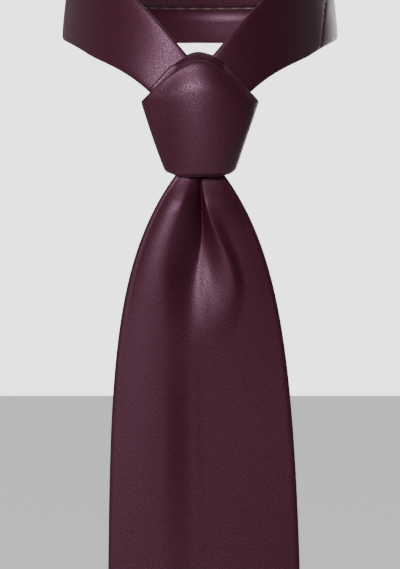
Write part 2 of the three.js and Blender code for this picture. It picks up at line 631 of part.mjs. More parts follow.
const seamRightFromLeft = 2 * HALF_LOOP - SEAM_RIGHT; // the right seam, measured the long way round from the left
const seamRoom = THREAD / 2 + GAP;
addPiece("blade_side_arm", bandEnvelope(-STRAP_LENGTH - GAP, -SEAM_LEFT + seamRoom, 0, -SEAM_SLANT), satin);
addPiece("tail_side_arm", bandEnvelope(STRAP_LENGTH + GAP, SEAM_RIGHT - seamRoom, 0, SEAM_SLANT), satin);
addPiece("neck_band", bandEnvelope(-SEAM_LEFT - seamRoom, -seamRightFromLeft + seamRoom, -SEAM_SLANT, SEAM_SLANT), satin);
addPiece("neck_interlining", bandStretch(-STRAP_LENGTH - 2 * GAP, -2 * HALF_LOOP + STRAP_LENGTH + 2 * GAP, 0, 0, SATIN + GAP), wool);

// Each piecing seam is a line of thread round the band, on the bias, between two panels.
function piecingSeam(distance, slant) {
  const [from, to] = [distance - THREAD / 2, distance + THREAD / 2];
  const outer = bandStretch(from, to, slant, slant, 0);
  return cut(outer, bandStretch(from - PAST, to + PAST, slant, slant, SATIN));
}
addPiece("piecing_seam_left", piecingSeam(-SEAM_LEFT, -SEAM_SLANT), thread);
addPiece("piecing_seam_right", piecingSeam(SEAM_RIGHT, SEAM_SLANT), thread);

// The straps run from the arms to the knot. They end just short of the knot's sides, and above its
// crown just short of the same line carried up.
function strap(side) {
  const whole = bandStretch(side * GAP, side * STRAP_LENGTH, 0, 0, 0);
  return cut(whole, knotEnvelope(-GAP, 0, KNOT_HEIGHT), knotEnvelope(-GAP, -BAND_WIDTH, 0));
}
addPiece("blade_side_strap", strap(-1), satin);
addPiece("tail_side_strap", strap(1), satin);

export default tie;
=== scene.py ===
# %% [markdown]
# # A burgundy satin necktie, tied in a four-in-hand knot
#
# A tie is one long envelope of satin, cut on the bias and folded round a brushed wool interlining.
# Tied, the same strip becomes a neck loop, a knot, a wide blade and a narrow tail. Nothing on it is
# flat or hard: every edge is a soft roll, and the shape comes from how the cloth is gathered.
# So each stretch of the strip is built here as a surface, worked out with numpy on a grid.

# %% Load the frame
import math

import bpy
import numpy as np
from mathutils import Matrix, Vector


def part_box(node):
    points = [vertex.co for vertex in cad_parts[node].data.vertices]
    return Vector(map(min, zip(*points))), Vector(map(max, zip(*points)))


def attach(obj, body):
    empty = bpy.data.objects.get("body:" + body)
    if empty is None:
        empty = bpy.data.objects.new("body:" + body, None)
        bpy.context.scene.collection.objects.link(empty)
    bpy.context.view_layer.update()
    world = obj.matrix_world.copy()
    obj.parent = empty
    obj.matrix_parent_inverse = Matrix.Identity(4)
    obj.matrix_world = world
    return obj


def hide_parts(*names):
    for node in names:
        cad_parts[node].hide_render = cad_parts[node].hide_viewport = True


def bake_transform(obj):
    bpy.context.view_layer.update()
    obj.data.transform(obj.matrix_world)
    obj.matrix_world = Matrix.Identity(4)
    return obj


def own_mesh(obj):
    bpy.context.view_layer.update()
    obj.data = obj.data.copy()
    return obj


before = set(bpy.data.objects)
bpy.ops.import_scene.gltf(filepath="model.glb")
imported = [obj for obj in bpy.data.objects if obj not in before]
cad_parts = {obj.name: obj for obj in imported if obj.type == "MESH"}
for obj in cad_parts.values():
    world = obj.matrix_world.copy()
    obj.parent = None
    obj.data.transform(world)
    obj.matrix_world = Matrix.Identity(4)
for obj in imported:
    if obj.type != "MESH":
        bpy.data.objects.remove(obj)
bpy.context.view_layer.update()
MM = 0.001


def corner(node, side):
    """The lowest (side 0) or highest (side 1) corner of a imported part, in millimetres."""
    return np.array(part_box(node)[side]) / MM


# %% [markdown]
# ## Sizes
# Everything is worked out in millimetres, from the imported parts: where the knot's mouth is, how long
# and wide the blade and the tail are, and where their planes lie. What the parts don't tell, such as
# how soft an edge is rolled, is named here.

# %% Sizes in millimetres
MOUTH_Z = corner("knot_front_wrap", 0)[2]
KNOT_HEIGHT = -MOUTH_Z
SHOULDER_HALF = corner("knot_front_wrap", 1)[0]
SHOULDER_DROP = 19.5
MOUTH_HALF = 14.0
CROWN_HALF = 17.0
WAIST = 0.8
CROWN_DEPTH = 12.5
MOUTH_DEPTH = 9.0
KNOT_Y = corner("knot_front_wrap", 0)[1] + 12.25
WRAP = 3.0

BLADE_TIP_Z = corner("blade_envelope", 0)[2]
BLADE_LENGTH = MOUTH_Z - BLADE_TIP_Z
BLADE_WIDTH = corner("blade_envelope", 1)[0] * 2
BLADE_FRONT_Y = corner("blade_envelope", 0)[1]
BLADE_BACK_Y = corner("blade_envelope", 1)[1]
TAIL_TIP_Z = corner("tail_envelope", 0)[2]
TAIL_LENGTH = MOUTH_Z - TAIL_TIP_Z
TAIL_WIDTH = corner("tail_envelope", 1)[0] * 2
TAIL_FRONT_Y = corner("tail_envelope", 0)[1]
TAIL_BACK_Y = corner("tail_envelope", 1)[1]
TAIL_TOP_Z = corner("tail_envelope", 1)[2]
CLOTH = 0.5
print("blade", round(BLADE_LENGTH), "mm long and", round(BLADE_WIDTH, 1), "mm wide")

# %% [markdown]
# ## Camera
# The tie is seen straight from the front through a long lens, so that its edges stay parallel. The
# view spans 245 mm from top to bottom where the blade hangs.

# %% Camera
LENS = 150.0
SENSOR = 36.0
VIEW_HEIGHT = 244.7
VIEW_MIDDLE_Z = MOUTH_Z - 46.2

camera_data = bpy.data.cameras.new("camera")
camera_data.lens = LENS
camera_data.sensor_width = SENSOR
camera_data.clip_end = 20
camera = bpy.data.objects.new("camera", camera_data)
bpy.context.scene.collection.objects.link(camera)
distance = VIEW_HEIGHT * LENS / SENSOR
camera.location = (0, (BLADE_FRONT_Y - distance) * MM, VIEW_MIDDLE_Z * MM)
camera.rotation_euler = (math.radians(90), 0, 0)
bpy.context.scene.camera = camera

# %% [markdown]
# ## Helpers: from points to a closed piece of cloth
# Cloth that is folded or rolled has a section: a closed line that goes out along the outer face and
# comes back along the inner one. Many sections in a row make a tube. Joining neighbours gives
# four-sided faces, and zipping the first and last section shut closes the piece.

# %% From sections to a mesh
def lengths_along(points):
    """Distance from the first point to each point, walking through all the points between."""
    steps = np.linalg.norm(np.diff(points, axis=0), axis=1)
    return np.concatenate([[0.0], np.cumsum(steps)])


END_ROW = 0.03


def skin(name, sections, material):
    """Joins sections (rows x columns x 3, mm, or several strips of them) into one closed piece. Each
    section has an even number of points: the first half runs along one face and the second half comes
    back along the other, so point i faces point n-1-i, and the ends are closed by joining those. The
    map of the cloth is laid out in metres: across is the walk round the middle section, along is the
    walk down the rows. One more row close to each end keeps the shading straight up to the end."""
    strips = sections if sections.ndim == 4 else sections[None]
    near_start = strips[:, :1] + END_ROW * (strips[:, 1:2] - strips[:, :1])
    near_end = strips[:, -1:] + END_ROW * (strips[:, -2:-1] - strips[:, -1:])
    strips = np.concatenate([strips[:, :1], near_start, strips[:, 1:-1], near_end, strips[:, -1:]], 1)
    count, rows, columns, _ = strips.shape
    j, i = np.mgrid[0 : rows - 1, 0:columns]
    k = (i + 1) % columns
    here, below = j * columns, (j + 1) * columns
    sides = np.stack([here + i, here + k, below + k, below + i], -1)
    e = np.arange(columns // 2 - 1)
    zip_up = np.stack([e, columns - 1 - e, columns - 2 - e, e + 1], -1)
    zip_down = zip_up[:, ::-1] + (rows - 1) * columns
    quads = np.concatenate([sides.reshape(-1, 4), zip_up, zip_down])
    first = strips[0]
    around = lengths_along(np.concatenate([first[rows // 2], first[rows // 2][:1]])) * MM
    along = lengths_along(first[:, columns // 4]) * MM
    u = np.stack([around[i], around[i + 1], around[i + 1], around[i]], -1).reshape(-1, 4)
    v = np.stack([along[j], along[j], along[j + 1], along[j + 1]], -1).reshape(-1, 4)
    caps = np.concatenate([zip_up, zip_down])
    u = np.concatenate([u, around[caps % columns]])
    v = np.concatenate([v, along[caps // columns % rows]])
    quads = (quads + np.arange(count)[:, None, None] * rows * columns).reshape(-1, 4)
    u, v = np.tile(u, (count, 1)), np.tile(v, (count, 1))
    points = strips.reshape(-1, 3)
    a, b, c, d = (points[quads[:, n]] for n in range(4))
    volume = np.einsum("ij,ij->", a, np.cross(b, c)) + np.einsum("ij,ij->", a, np.cross(c, d))
    if volume < 0:
        quads, u, v = quads[:, ::-1], u[:, ::-1], v[:, ::-1]
    mesh = bpy.data.meshes.new(name)
    mesh.from_pydata((points * MM).tolist(), [], quads.tolist())
    mesh.uv_layers.new(name="cloth").data.foreach_set("uv", np.stack([u, v], -1).ravel())
    smooth = np.ones((count, len(quads) // count), bool)
    smooth[:, -len(caps) :] = False
    mesh.polygons.foreach_set("use_smooth", smooth.ravel())
    mesh.materials.append(material)
    piece = bpy.data.objects.new(name, mesh)
    bpy.context.scene.collection.objects.link(piece)
    return piece


def smooth_line(points, count):
    """A Catmull-Rom curve through the points, as count points at even distances: between two points it
    is the cubic whose slope at each is half the step between that point's neighbours."""
    points = np.asarray(points, float)
    padded = np.concatenate([2 * points[:1] - points[1:2], points, 2 * points[-1:] - points[-2:-1]])
    t = np.linspace(0, 1, 24, endpoint=False)[None, :, None]
    a, b, c, d = (padded[n : n + len(points) - 1][:, None, :] for n in range(4))
    square, cube = a - 2.5 * b + 2 * c - 0.5 * d, 1.5 * (b - c) + 0.5 * (d - a)
    curve = b + 0.5 * t * (c - a) + t**2 * square + t**3 * cube
    curve = np.concatenate([curve.reshape(-1, 3), points[-1:]])
    walked = lengths_along(curve)
    wanted = np.linspace(0, walked[-1], count)
    return np.stack([np.interp(wanted, walked, curve[:, n]) for n in range(3)], -1)


def threads(paths, out, radius, sides=6):
    """Round threads along paths (strips x rows x 3): a ring at each point, in the plane of out and of
    out crossed with the path. The radius may change along the path."""
    along = np.gradient(paths, axis=1)
    along /= np.linalg.norm(along, axis=2, keepdims=True)
    out = np.broadcast_to(np.asarray(out, float), paths.shape)
    out = out - along * np.sum(out * along, 2, keepdims=True)
    out = out / np.linalg.norm(out, axis=2, keepdims=True)
    across = np.cross(out, along)
    angle = (np.arange(sides) + 0.5) / sides * 2 * math.pi
    radius = np.broadcast_to(radius, paths.shape[:2])[..., None, None]
    ring = np.cos(angle)[:, None] * out[:, :, None, :] + np.sin(angle)[:, None] * across[:, :, None, :]
    return paths[:, :, None, :] + radius * ring


def stitches(starts, ends, out, radius=0.2, height=0.25):
    """Single stitches from starts to ends: each rises out of the cloth and sinks back as a half sine,
    and is thinner at its ends, (1 - (2u - 1)^4)^(1/2)."""
    u = np.linspace(0, 1, 7)[None, :, None]
    starts, ends = starts[:, None, :], ends[:, None, :]
    paths = starts + (ends - starts) * u + height * np.sin(math.pi * u) * np.asarray(out, float)
    return threads(paths, out, radius * (0.3 + 0.7 * np.sqrt(1 - (2 * u[..., 0] - 1) ** 4)))


def outward(grid, away_from):
    """Unit normals of a grid of points, from the cross product of its two directions, turned so that
    on the whole they point away from the given points."""
    normal = np.cross(np.gradient(grid, axis=1), np.gradient(grid, axis=0))
    normal /= np.linalg.norm(normal, axis=2, keepdims=True) + 1e-9
    facing = np.sign(np.sum(normal * (grid - away_from)))
    return normal * facing


def smooth_step(x, low, high):
    """0 below low, 1 above high, and 3t^2 - 2t^3 between them."""
    t = np.clip((x - low) / (high - low), 0, 1)
    return t * t * (3 - 2 * t)


def bell(x, middle, spread):
    """Gaussian hump: e to the minus ((x - middle) / spread) squared."""
    return np.exp(-(((x - middle) / spread) ** 2))


# %% [markdown]
# ## Materials
# Each finish starts from the real stuff. A node-based material reads the map of the cloth, so the
# weave turns with the strip as it goes round the knot.

# %% Colours and helpers for nodes
def linear(hex_colour):
    """An sRGB hex colour as linear red, green, blue and alpha."""
    channels = [int(hex_colour[n : n + 2], 16) / 255 for n in (1, 3, 5)]
    return [c / 12.92 if c <= 0.04045 else ((c + 0.055) / 1.055) ** 2.4 for c in channels] + [1.0]


def add(tree, kind, values=None, links=None, **settings):
    """Adds a shader node, sets its settings and its sockets' values, and links other sockets in."""
    node = tree.nodes.new("ShaderNode" + kind)
    for key, value in settings.items():
        setattr(node, key, value)
    for key, value in (values or {}).items():
        node.inputs[key].default_value = value
    for key, socket in (links or {}).items():
        tree.links.new(socket, node.inputs[key])
    return node


def new_material(name):
    """An empty node material and its tree."""
    material = bpy.data.materials.new(name)
    material.use_nodes = True
    material.node_tree.nodes.clear()
    return material, material.node_tree


def surface(material, values, links):
    """Gives a material its one shader."""
    shader = add(material.node_tree, "BsdfPrincipled", values, links)
    add(material.node_tree, "OutputMaterial", {}, {"Surface": shader.outputs["BSDF"]})
    return material


def cloth_map(tree):
    """The map that skin lays out, in metres."""
    return add(tree, "UVMap", uv_map="cloth").outputs["UV"]


def turned(tree, vector, degrees, scale):
    """The map turned about its own normal and scaled."""
    values = {"Rotation": (0, 0, math.radians(degrees)), "Scale": scale}
    return add(tree, "Mapping", values, {"Vector": vector}).outputs["Vector"]


def noise(tree, vector, scale, detail):
    """A soft noise from 0 to 1."""
    return add(tree, "TexNoise", {"Scale": scale, "Detail": detail}, {"Vector": vector}).outputs["Fac"]


def blended(tree, low, high, factor):
    """A mix of two hex colours."""
    colours = {6: linear(low), 7: linear(high)}
    return add(tree, "Mix", colours, {"Factor": factor}, data_type="RGBA").outputs[2]


def bumped(tree, height, strength, depth_mm):
    """A normal that rises with height by depth_mm at most."""
    values = {"Strength": strength, "Distance": depth_mm * MM}
    return add(tree, "Bump", values, {"Height": height}).outputs["Normal"]


# %% [markdown]
# ### Burgundy microfibre satin
# Satin floats its yarns over several others, so it has a broad soft sheen rather than a sharp gloss,
# and the bias cut turns the yarns 45 degrees to the strip. Real yarns lie about 0.1 mm apart, too fine
# to see from here, so the grain is drawn coarser, as the sheen breaks up to the eye.

# %% Satin
WARP_MM = (0.22, 1.4)
WEFT_MM = (0.22, 0.7)
SPECKLE_MM = 0.62
SPECKLE_SHARE = 0.7
GRAIN_DEPTH_MM = 0.055


def satin(name, dark, light, roughness):
    """Height is the product of two stretched noises, one along the warp and one along the weft, plus
    a share of a fine speckle. Raised floats are painted lighter and low spots darker in the base
    colour, a painted glint and painted shade of the weave; raised floats are also glossier and brighter
    in their sheen."""
    material, tree = new_material(name)
    uv = cloth_map(tree)
    yarns = []
    for degrees, (across, along) in ((45, WARP_MM), (-45, WEFT_MM)):
        stretched = turned(tree, uv, degrees, (1 / (across * MM), 1 / (along * MM), 1))
        yarns.append(noise(tree, stretched, 1.0, 1.0))
    crossed = add(tree, "Math", {}, {0: yarns[0], 1: yarns[1]}, operation="MULTIPLY")
    speckle = noise(tree, uv, 1 / (SPECKLE_MM * MM), 2.0)
    summed = {0: speckle, 2: crossed.outputs["Value"]}
    height = add(tree, "Math", {1: SPECKLE_SHARE}, summed, operation="MULTIPLY_ADD").outputs["Value"]
    heights = {"From Min": 0.42, "From Max": 0.8}
    raised = add(tree, "MapRange", heights, {"Value": height}).outputs["Result"]
    gloss_range = heights | {"To Min": roughness + 0.12, "To Max": roughness - 0.1}
    return surface(
        material,
        {
            "Specular IOR Level": 1.0,
            "Sheen Weight": 0.1,
            "Sheen Roughness": 0.3,
            "Sheen Tint": linear("#c83258"),
        },
        {
            # The base colour's grain is painted glint on the raised floats and painted shade between
            # them.
            "Base Color": blended(tree, dark, light, raised),
            "Specular Tint": blended(tree, "#cf8cb8", "#ffd2f2", raised),
            "Roughness": add(tree, "MapRange", gloss_range, {"Value": height}).outputs["Result"],
            "Normal": bumped(tree, height, 1.0, GRAIN_DEPTH_MM),
        },
    )


# %% [markdown]
# ### Lining, interlining, thread and labels
# The tipping is a smooth acetate lining with a fine twill line. The interlining is brushed wool: dull
# and fuzzy. Sewing thread is two plies twisted. Labels are ribbed by their weft.

# %% The other finishes
def ribbed(name, base, line, pitch_mm, degrees, roughness, sheen):
    """A cloth with straight ribs, pitch_mm apart, turned by an angle on its map."""
    material, tree = new_material(name)
    map_turned = turned(tree, cloth_map(tree), degrees, (1 / (pitch_mm * MM),) * 3)
    wave = {"Scale": 0.5, "Distortion": 0.6, "Detail": 1.0}
    ribs = add(tree, "TexWave", wave, {"Vector": map_turned}).outputs["Fac"]
    return surface(
        material,
        {"Roughness": roughness, "Sheen Weight": sheen},
        {"Base Color": blended(tree, base, line, ribs), "Normal": bumped(tree, ribs, 0.6, 0.08)},
    )


def brushed(name, base, fibre, fibre_mm):
    """A matt felted cloth: one noise with many octaves, from clumps down to single fibres."""
    material, tree = new_material(name)
    fibres = noise(tree, cloth_map(tree), 1 / (fibre_mm * MM), 5.0)
    return surface(
        material,
        {"Roughness": 0.95, "Sheen Weight": 0.4, "Sheen Roughness": 0.6},
        {"Base Color": blended(tree, base, fibre, fibres), "Normal": bumped(tree, fibres, 0.8, 0.15)},
    )


FINISHES = {
    # The satin's two colours are the painted shade and painted glint of its grain over one dyed
    # burgundy.
    "burgundy_satin": satin("burgundy microfibre satin", "#1b060d", "#521a29", 0.45),
    "tipping_lining": ribbed("acetate twill lining", "#45121f", "#5e1f31", 0.5, 60, 0.38, 0.2),
    "wool_interlining": brushed("brushed wool interlining", "#cfc7b6", "#ece6da", 0.6),
    "sewing_thread": ribbed("twisted burgundy thread", "#4a1f2c", "#6d3a48", 0.35, 30, 0.6, 0.3),
    "woven_label": ribbed("woven black label", "#16131a", "#2a2530", 0.35, 0, 0.5, 0.1),
    "care_tape": ribbed("white satin care tape", "#dedad2", "#f2efe9", 0.3, 90, 0.4, 0.1),
}


def make(name, sections, slot, body=None, nodes=()):
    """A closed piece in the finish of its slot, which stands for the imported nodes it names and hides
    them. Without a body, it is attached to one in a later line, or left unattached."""
    piece = skin(name, sections, FINISHES[slot])
    if nodes:
        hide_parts(*nodes)
    if body:
        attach(piece, body)
    return piece


# %% [markdown]
# ## The way the strips hang
# Flat cloth that hangs free isn't a board. The blade bows forward a little in the middle, and slow
# ripples run down it. Everything below the knot is bent by the same function of place, so the lining,
# label and tail keep their distance from the blade.

# %% Bow and ripple
BOW = 2.4
RIPPLE = 0.5


def hang(points):
    """Moves points forward by a bow, 1 - (x / half width)^2 across, and adds two slow sine ripples
    down the length. Both grow from nothing below the knot's gathers."""
    x, z = points[..., 0], points[..., 2]
    drop = MOUTH_Z - z
    grown = smooth_step(drop, 60, 170)
    settled = 1 - 0.5 * smooth_step(drop, 300, 460)
    bow = BOW * (1 - (x / (BLADE_WIDTH / 2)) ** 2) * grown * settled
    ripple = RIPPLE * np.sin(drop / 47 + 0.02 * x) + 0.5 * RIPPLE * np.sin(drop / 29 + x / 31)
    moved = points.copy()
    moved[..., 1] -= bow + ripple * smooth_step(drop, 80, 220)
    return moved


# %% [markdown]
# ## Folded strips: the blade and the tail
# The satin runs from the seam at the middle of the back round one edge, across the front, round the
# other edge and back to the seam. Near the tip the two back flaps part, which shows the lining.

# %% One function for both folded strips
EDGE_ROLL = 2.2
SEAM_HALF = 0.1
HEM = 7.0
FRONT_COLUMNS = 97
FOLD_COLUMNS = 9
FLAP_COLUMNS = 15


def flap_edge(drop, length, shoulder_half, opening):
    """Half the distance between the back flaps: closed down to the opening's apex, then a straight
    line out to the hem beside the tip's shoulder, then in along the hem to the tip."""
    shoulder = length - shoulder_half
    apex = length - opening
    widening = (drop - apex) / (shoulder - apex) * (shoulder_half - HEM)
    closing = length - drop - HEM * math.sqrt(2)
    return np.clip(np.minimum(widening, closing), SEAM_HALF * (drop < shoulder) + 0.02, None)


def folded_strip(drops, half_width, front_y, back_y, edge, relief, middle):
    """The folded cloth at each drop below the knot: outer face first, then back along the inner face.
    Across the front the surface stands forward by relief; each edge is half an ellipse, as deep as the
    cloth stands there; each flap is nearly straight. The inner face lies one cloth thickness in, along
    the normal."""
    s = drops[:, None]
    half = half_width(s)
    roll = np.minimum(EDGE_ROLL, half * 0.45)
    flat_half = half - roll
    a = np.linspace(-1, 1, FRONT_COLUMNS)[None, :]
    turn = np.linspace(math.pi / 2, -math.pi / 2, FOLD_COLUMNS)[None, 1:-1]
    t = np.linspace(0, 1, FLAP_COLUMNS)[None, :]
    thick = back_y - front_y
    flap_x = edge(s) + (np.maximum(flat_half, edge(s) + 0.01) - edge(s)) * t
    flap_y = back_y - 0.05 * np.sin(math.pi * t) * thick + 0 * s
    fold_x = flat_half + roll * np.cos(turn)
    forward, sideways = relief(a, s)
    front = front_y - forward
    folds = []
    for edge_y in (front[:, :1], front[:, -1:]):
        folds.append((edge_y + back_y) / 2 + (back_y - edge_y) / 2 * np.sin(turn))
    front_x = a * flat_half + sideways
    x = np.concatenate([-flap_x, -fold_x, front_x, fold_x[:, ::-1], flap_x[:, ::-1]], 1) + middle(s)
    y = np.concatenate([flap_y, folds[0], front, folds[1][:, ::-1], flap_y[:, ::-1]], 1)
    outer = np.stack([x, y, MOUTH_Z - s + 0 * x], -1)
    centre = np.stack([middle(s)[:, 0], (front_y + back_y) / 2 + 0 * s[:, 0], MOUTH_Z - s[:, 0]], -1)
    inner = outer - CLOTH * outward(outer, centre[:, None, :])
    return np.concatenate([outer, inner[:, ::-1]], 1)


# %% [markdown]
# ## The blade
# Under the knot the blade is squeezed to a third of its width, so the cloth stands in folds: a long
# roll near the left edge, a shorter one right of the middle, and between them the dimple, which is
# pinched in while tying. The dimple is a scoop: deep and dark under the knot, its floor coming forward
# until it meets the flat of the blade.

# %% Blade surface
BLADE_SPREAD = 41.0
BLADE_TAPER = 0.017
BLADE_GATHER = 58.0
BLADE_OPENING = 130.0


def blade_half_width(drop):
    """Half width: a slow straight taper, less a gather that dies away with e, less the pointed tip."""
    shoulder = BLADE_LENGTH - BLADE_WIDTH / 2
    full = BLADE_WIDTH - BLADE_TAPER * (shoulder - drop) - BLADE_GATHER * np.exp(-drop / BLADE_SPREAD)
    return np.clip(np.minimum(full / 2, BLADE_LENGTH - drop), 0.3, None)


LIP_LEAN = 2.0


def blade_folds(a, s):
    """How far the front stands forward and how far it is pushed sideways, with a from -1 to 1 across
    and s millimetres below the knot. Across, the cloth climbs from the left edge to the left roll as a
    parabola, falls to the floor of the dimple, climbs to the right roll, and falls to the right edge as
    a power. The walls of the dimple are powers of the way from the roll, so they meet in a sharp cleft;
    lower down they turn to smooth steps, a round scoop. The places and heights of these lines change
    down the blade: the floor comes forward until the dimple ends. Fine gathers, a cosine across, die
    away with e below the mouth, and the lip of the right roll leans over the cleft."""
    grown = smooth_step(s, -4, 15)
    left_at = -0.46 - 0.12 * bell(s, 36, 24)
    floor_at = 0.08 - 0.19 * smooth_step(s, 12, 55)
    right_at = 0.27 + 0.22 * smooth_step(s, 8, 42) - 0.44 * smooth_step(s, 45, 80)
    left_top = (0.8 + 6.2 * grown) * np.exp(-((np.maximum(s - 20, 0) / 118) ** 2))
    right_top = (0.6 + 5.8 * grown) * np.exp(-((np.maximum(s - 36, 0) / 52) ** 2))
    closing = smooth_step(s, 24, 78)
    between = 0.1 * left_top + 0.9 * right_top
    dimple_floor = (1 - closing) * (-0.2 - 1.0 * grown) + closing * between
    edge = 2.2 * grown * np.exp(-((np.maximum(s - 30, 0) / 90) ** 2))
    from_left = np.clip((left_at - a) / (left_at + 1), 0, 1) ** 2
    across = np.clip((a - right_at) / (1 - right_at), 0, 1)
    crisp = 0.5 * smooth_step(s, 8, 30) * (1 - smooth_step(s, 54, 78))
    from_right = crisp * smooth_step(across, 0, 0.34) + (1 - crisp) * across**1.7
    cleft = 1 - smooth_step(s, 16, 44)
    down_left = np.clip((a - left_at) / (floor_at - left_at), 0, 1)
    down_right = np.clip((right_at - a) / (right_at - floor_at), 0, 1)
    down_left = cleft * down_left**1.7 + (1 - cleft) * smooth_step(down_left, 0, 1)
    down_right = cleft * down_right**0.9 + (1 - cleft) * smooth_step(down_right, 0, 1)
    left_side = left_top - (left_top - dimple_floor) * down_left - (left_top - edge) * from_left
    right_side = right_top - (right_top - dimple_floor) * down_right - (right_top - edge) * from_right
    gathers = 0.09 * np.cos(a * 15 + 0.6) * np.exp(-np.maximum(s, 0) / 16) * grown
    crease = 0.5 * bell(a, 0.06, 0.08) * bell(s, 46, 13)
    forward = np.where(a < floor_at, left_side, right_side) + gathers + crease
    sideways = LIP_LEAN * bell(a, right_at, 0.2) * smooth_step(s, -8, 5) * (1 - smooth_step(s, 14, 46))
    return forward, -sideways


def blade_middle(s):
    """The blade drifts 2 mm to the right as it hangs."""
    return 1.9 * smooth_step(s, 20, 200) * (1 - smooth_step(s, 260, 460))


def blade_edge(s):
    return flap_edge(s, BLADE_LENGTH, BLADE_WIDTH / 2, BLADE_OPENING)


blade_drops = np.concatenate(
    [
        np.linspace(-5, 100, 96),
        np.linspace(104, 320, 55),
        np.linspace(323, 410, 30),
        np.linspace(411.5, BLADE_LENGTH - 0.4, 34),
    ]
)
blade_sections = folded_strip(
    blade_drops, blade_half_width, BLADE_FRONT_Y, BLADE_BACK_Y, blade_edge, blade_folds, blade_middle
)
blade_nodes = ["blade_throat", "blade_pleat", "blade_envelope"]
blade = make("wide_blade", hang(blade_sections), "burgundy_satin", None, blade_nodes)
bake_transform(blade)
print("blade has", len(blade.data.polygons), "faces")

# %% [markdown]
# ## Flat layers inside the strips
# The interlining and the lining behind the tip are flat panels with the strip's own outline.

# %% Panels
def panel(drops, half_width, inset, front_y, back_y, columns, middle):
    """A flat layer: straight across at each drop, the outline moved in by inset, front to back."""
    s = drops[:, None]
    half = np.maximum(half_width(s) - inset, 0.05)
    a = np.linspace(-1, 1, columns)[None, :]
    x = a * half + middle(s)
    z = MOUTH_Z - s + 0 * x
    front = np.stack([x, 0 * x + front_y, z], -1)
    back = np.stack([x, 0 * x + back_y, z], -1)[:, ::-1]
    return np.concatenate([front, back], 1)


PANEL_INSET = 2.4


def hung_panel(name, drops, half_width, front_y, thickness, middle, slot, body, node):
    """A layer between the front and the back of a strip, bent as the strip hangs."""
    sections = panel(drops, half_width, PANEL_INSET, front_y, front_y + thickness, 25, middle)
    return make(name, hang(sections), slot, body, [node])


hung_panel(
    "blade_interlining_wool",
    np.concatenate([np.linspace(70, 410, 60), np.linspace(413, BLADE_LENGTH - 4, 20)]),
    blade_half_width,
    BLADE_FRONT_Y + 1.0,
    1.0,
    blade_middle,
    "wool_interlining",
    "blade",
    "blade_interlining",
)
hung_panel(
    "blade_tip_lining",
    np.concatenate(
        [np.linspace(BLADE_LENGTH - BLADE_OPENING - 9, 410, 30), np.linspace(412, BLADE_LENGTH - 4, 24)]
    ),
    blade_half_width,
    BLADE_BACK_Y - 1.0,
    0.3,
    blade_middle,
    "tipping_lining",
    "blade",
    "blade_tipping",
)

# %% [markdown]
# ## The knot
# The knot is the same strip drawn tight round itself. What shows is the front wrap, a cone cut short
# that narrows to the mouth, with soft rolled edges; behind it the rear wrap; and over its top the pass
# that goes down through the front wrap and becomes the blade.

# %% The knot's envelope
def knot_half_width(drop):
    """Widest at the shoulder. Above it a quarter ellipse to the crown, below it a straight line to the
    mouth, drawn in a little by a parabola."""
    up = np.clip((SHOULDER_DROP - drop) / SHOULDER_DROP, 0, 1)
    crown = CROWN_HALF + (SHOULDER_HALF - CROWN_HALF) * np.sqrt(1 - up**2)
    t = (drop - SHOULDER_DROP) / (KNOT_HEIGHT - SHOULDER_DROP)
    lower = SHOULDER_HALF + (MOUTH_HALF - SHOULDER_HALF) * t - WAIST * 4 * t * (1 - t)
    return np.where(drop < SHOULDER_DROP, crown, lower)


def knot_half_depth(drop):
    return CROWN_DEPTH + (MOUTH_DEPTH - CROWN_DEPTH) * drop / KNOT_HEIGHT


def on_knot(angle, drop, inset):
    """A point of the envelope, angle round from the front, drop below the top, moved in by inset."""
    x = np.sin(angle) * (knot_half_width(drop) - inset)
    y = KNOT_Y - np.cos(angle) * (knot_half_depth(drop) - inset)
    return np.stack([x, y, -drop + 0 * x], -1)


def no_hug(angle, t):
    return 0 * angle * t


def wrap_sections(angles, low_drop, high_drop, swell, columns=33, hug=no_hug):
    """A stretch of the strip round the knot. Each section goes up the outer face from the lower edge
    to the upper one and comes back down the inner face. Its half thickness near an edge is that of a
    circle, so the edges are rolls. The outer face is lifted by swell, and both are tucked in by hug."""
    angle = angles[:, None]
    t = np.linspace(0, 1, columns)
    t = (0.4 * t + 0.6 * (0.5 - 0.5 * np.cos(t * math.pi)))[None, :]
    low, high = low_drop(angle), high_drop(angle)
    drop = low + (high - low) * t
    to_edge = np.minimum(t, 1 - t) * (low - high)
    share = np.clip(to_edge / EDGE_ROLL, 0, 1)
    half = WRAP / 2 * np.sqrt(1 - (1 - share) ** 2)
    tuck = hug(angle, t)
    outer = on_knot(angle, drop, WRAP / 2 - half - swell(angle, t, drop) + tuck)
    inner = on_knot(angle, drop, WRAP / 2 + half + tuck)
    return np.concatenate([outer, inner[:, ::-1]], 1)


# %% Front wrap
FRONT_WRAP_TOP = 2.5
ARCH = 16.0
WRAP_SIDE = math.radians(98)
CORNER_LIFT = 2.0


def front_low(angle):
    """The lower edge: level in front, lifted where it turns behind."""
    return KNOT_HEIGHT - CORNER_LIFT * np.abs(np.sin(angle)) ** 6


def front_high(angle):
    """The upper edge: an arch, highest in the middle."""
    return FRONT_WRAP_TOP + ARCH * np.sin(angle) ** 2


def front_swell(angle, t, drop):
    """A crown of the cloth between its edges, and two faint slanting drag lines."""
    up = np.sin(math.pi * t)
    crown = 1.1 * up**0.35 + 2.4 * np.maximum(np.cos(angle - 0.12), 0) ** 3 * up**0.6
    drag = 0.18 * np.sin(angle * 5 + drop / 9) * up
    return crown + drag + 1.8 * np.sin(2 * angle) * up**0.6


def front_hug(angle, t):
    """The upper edge lies back on the pass under it, most in the middle."""
    return 2.8 * smooth_step(t, 0.72, 1.0) * np.maximum(np.cos(angle), 0) ** 1.5


front_turns = np.linspace(-WRAP_SIDE, WRAP_SIDE, 121)
front_sections = wrap_sections(front_turns, front_low, front_high, front_swell, 45, front_hug)
make("knot_front", front_sections, "burgundy_satin", "knot", ["knot_front_wrap"])

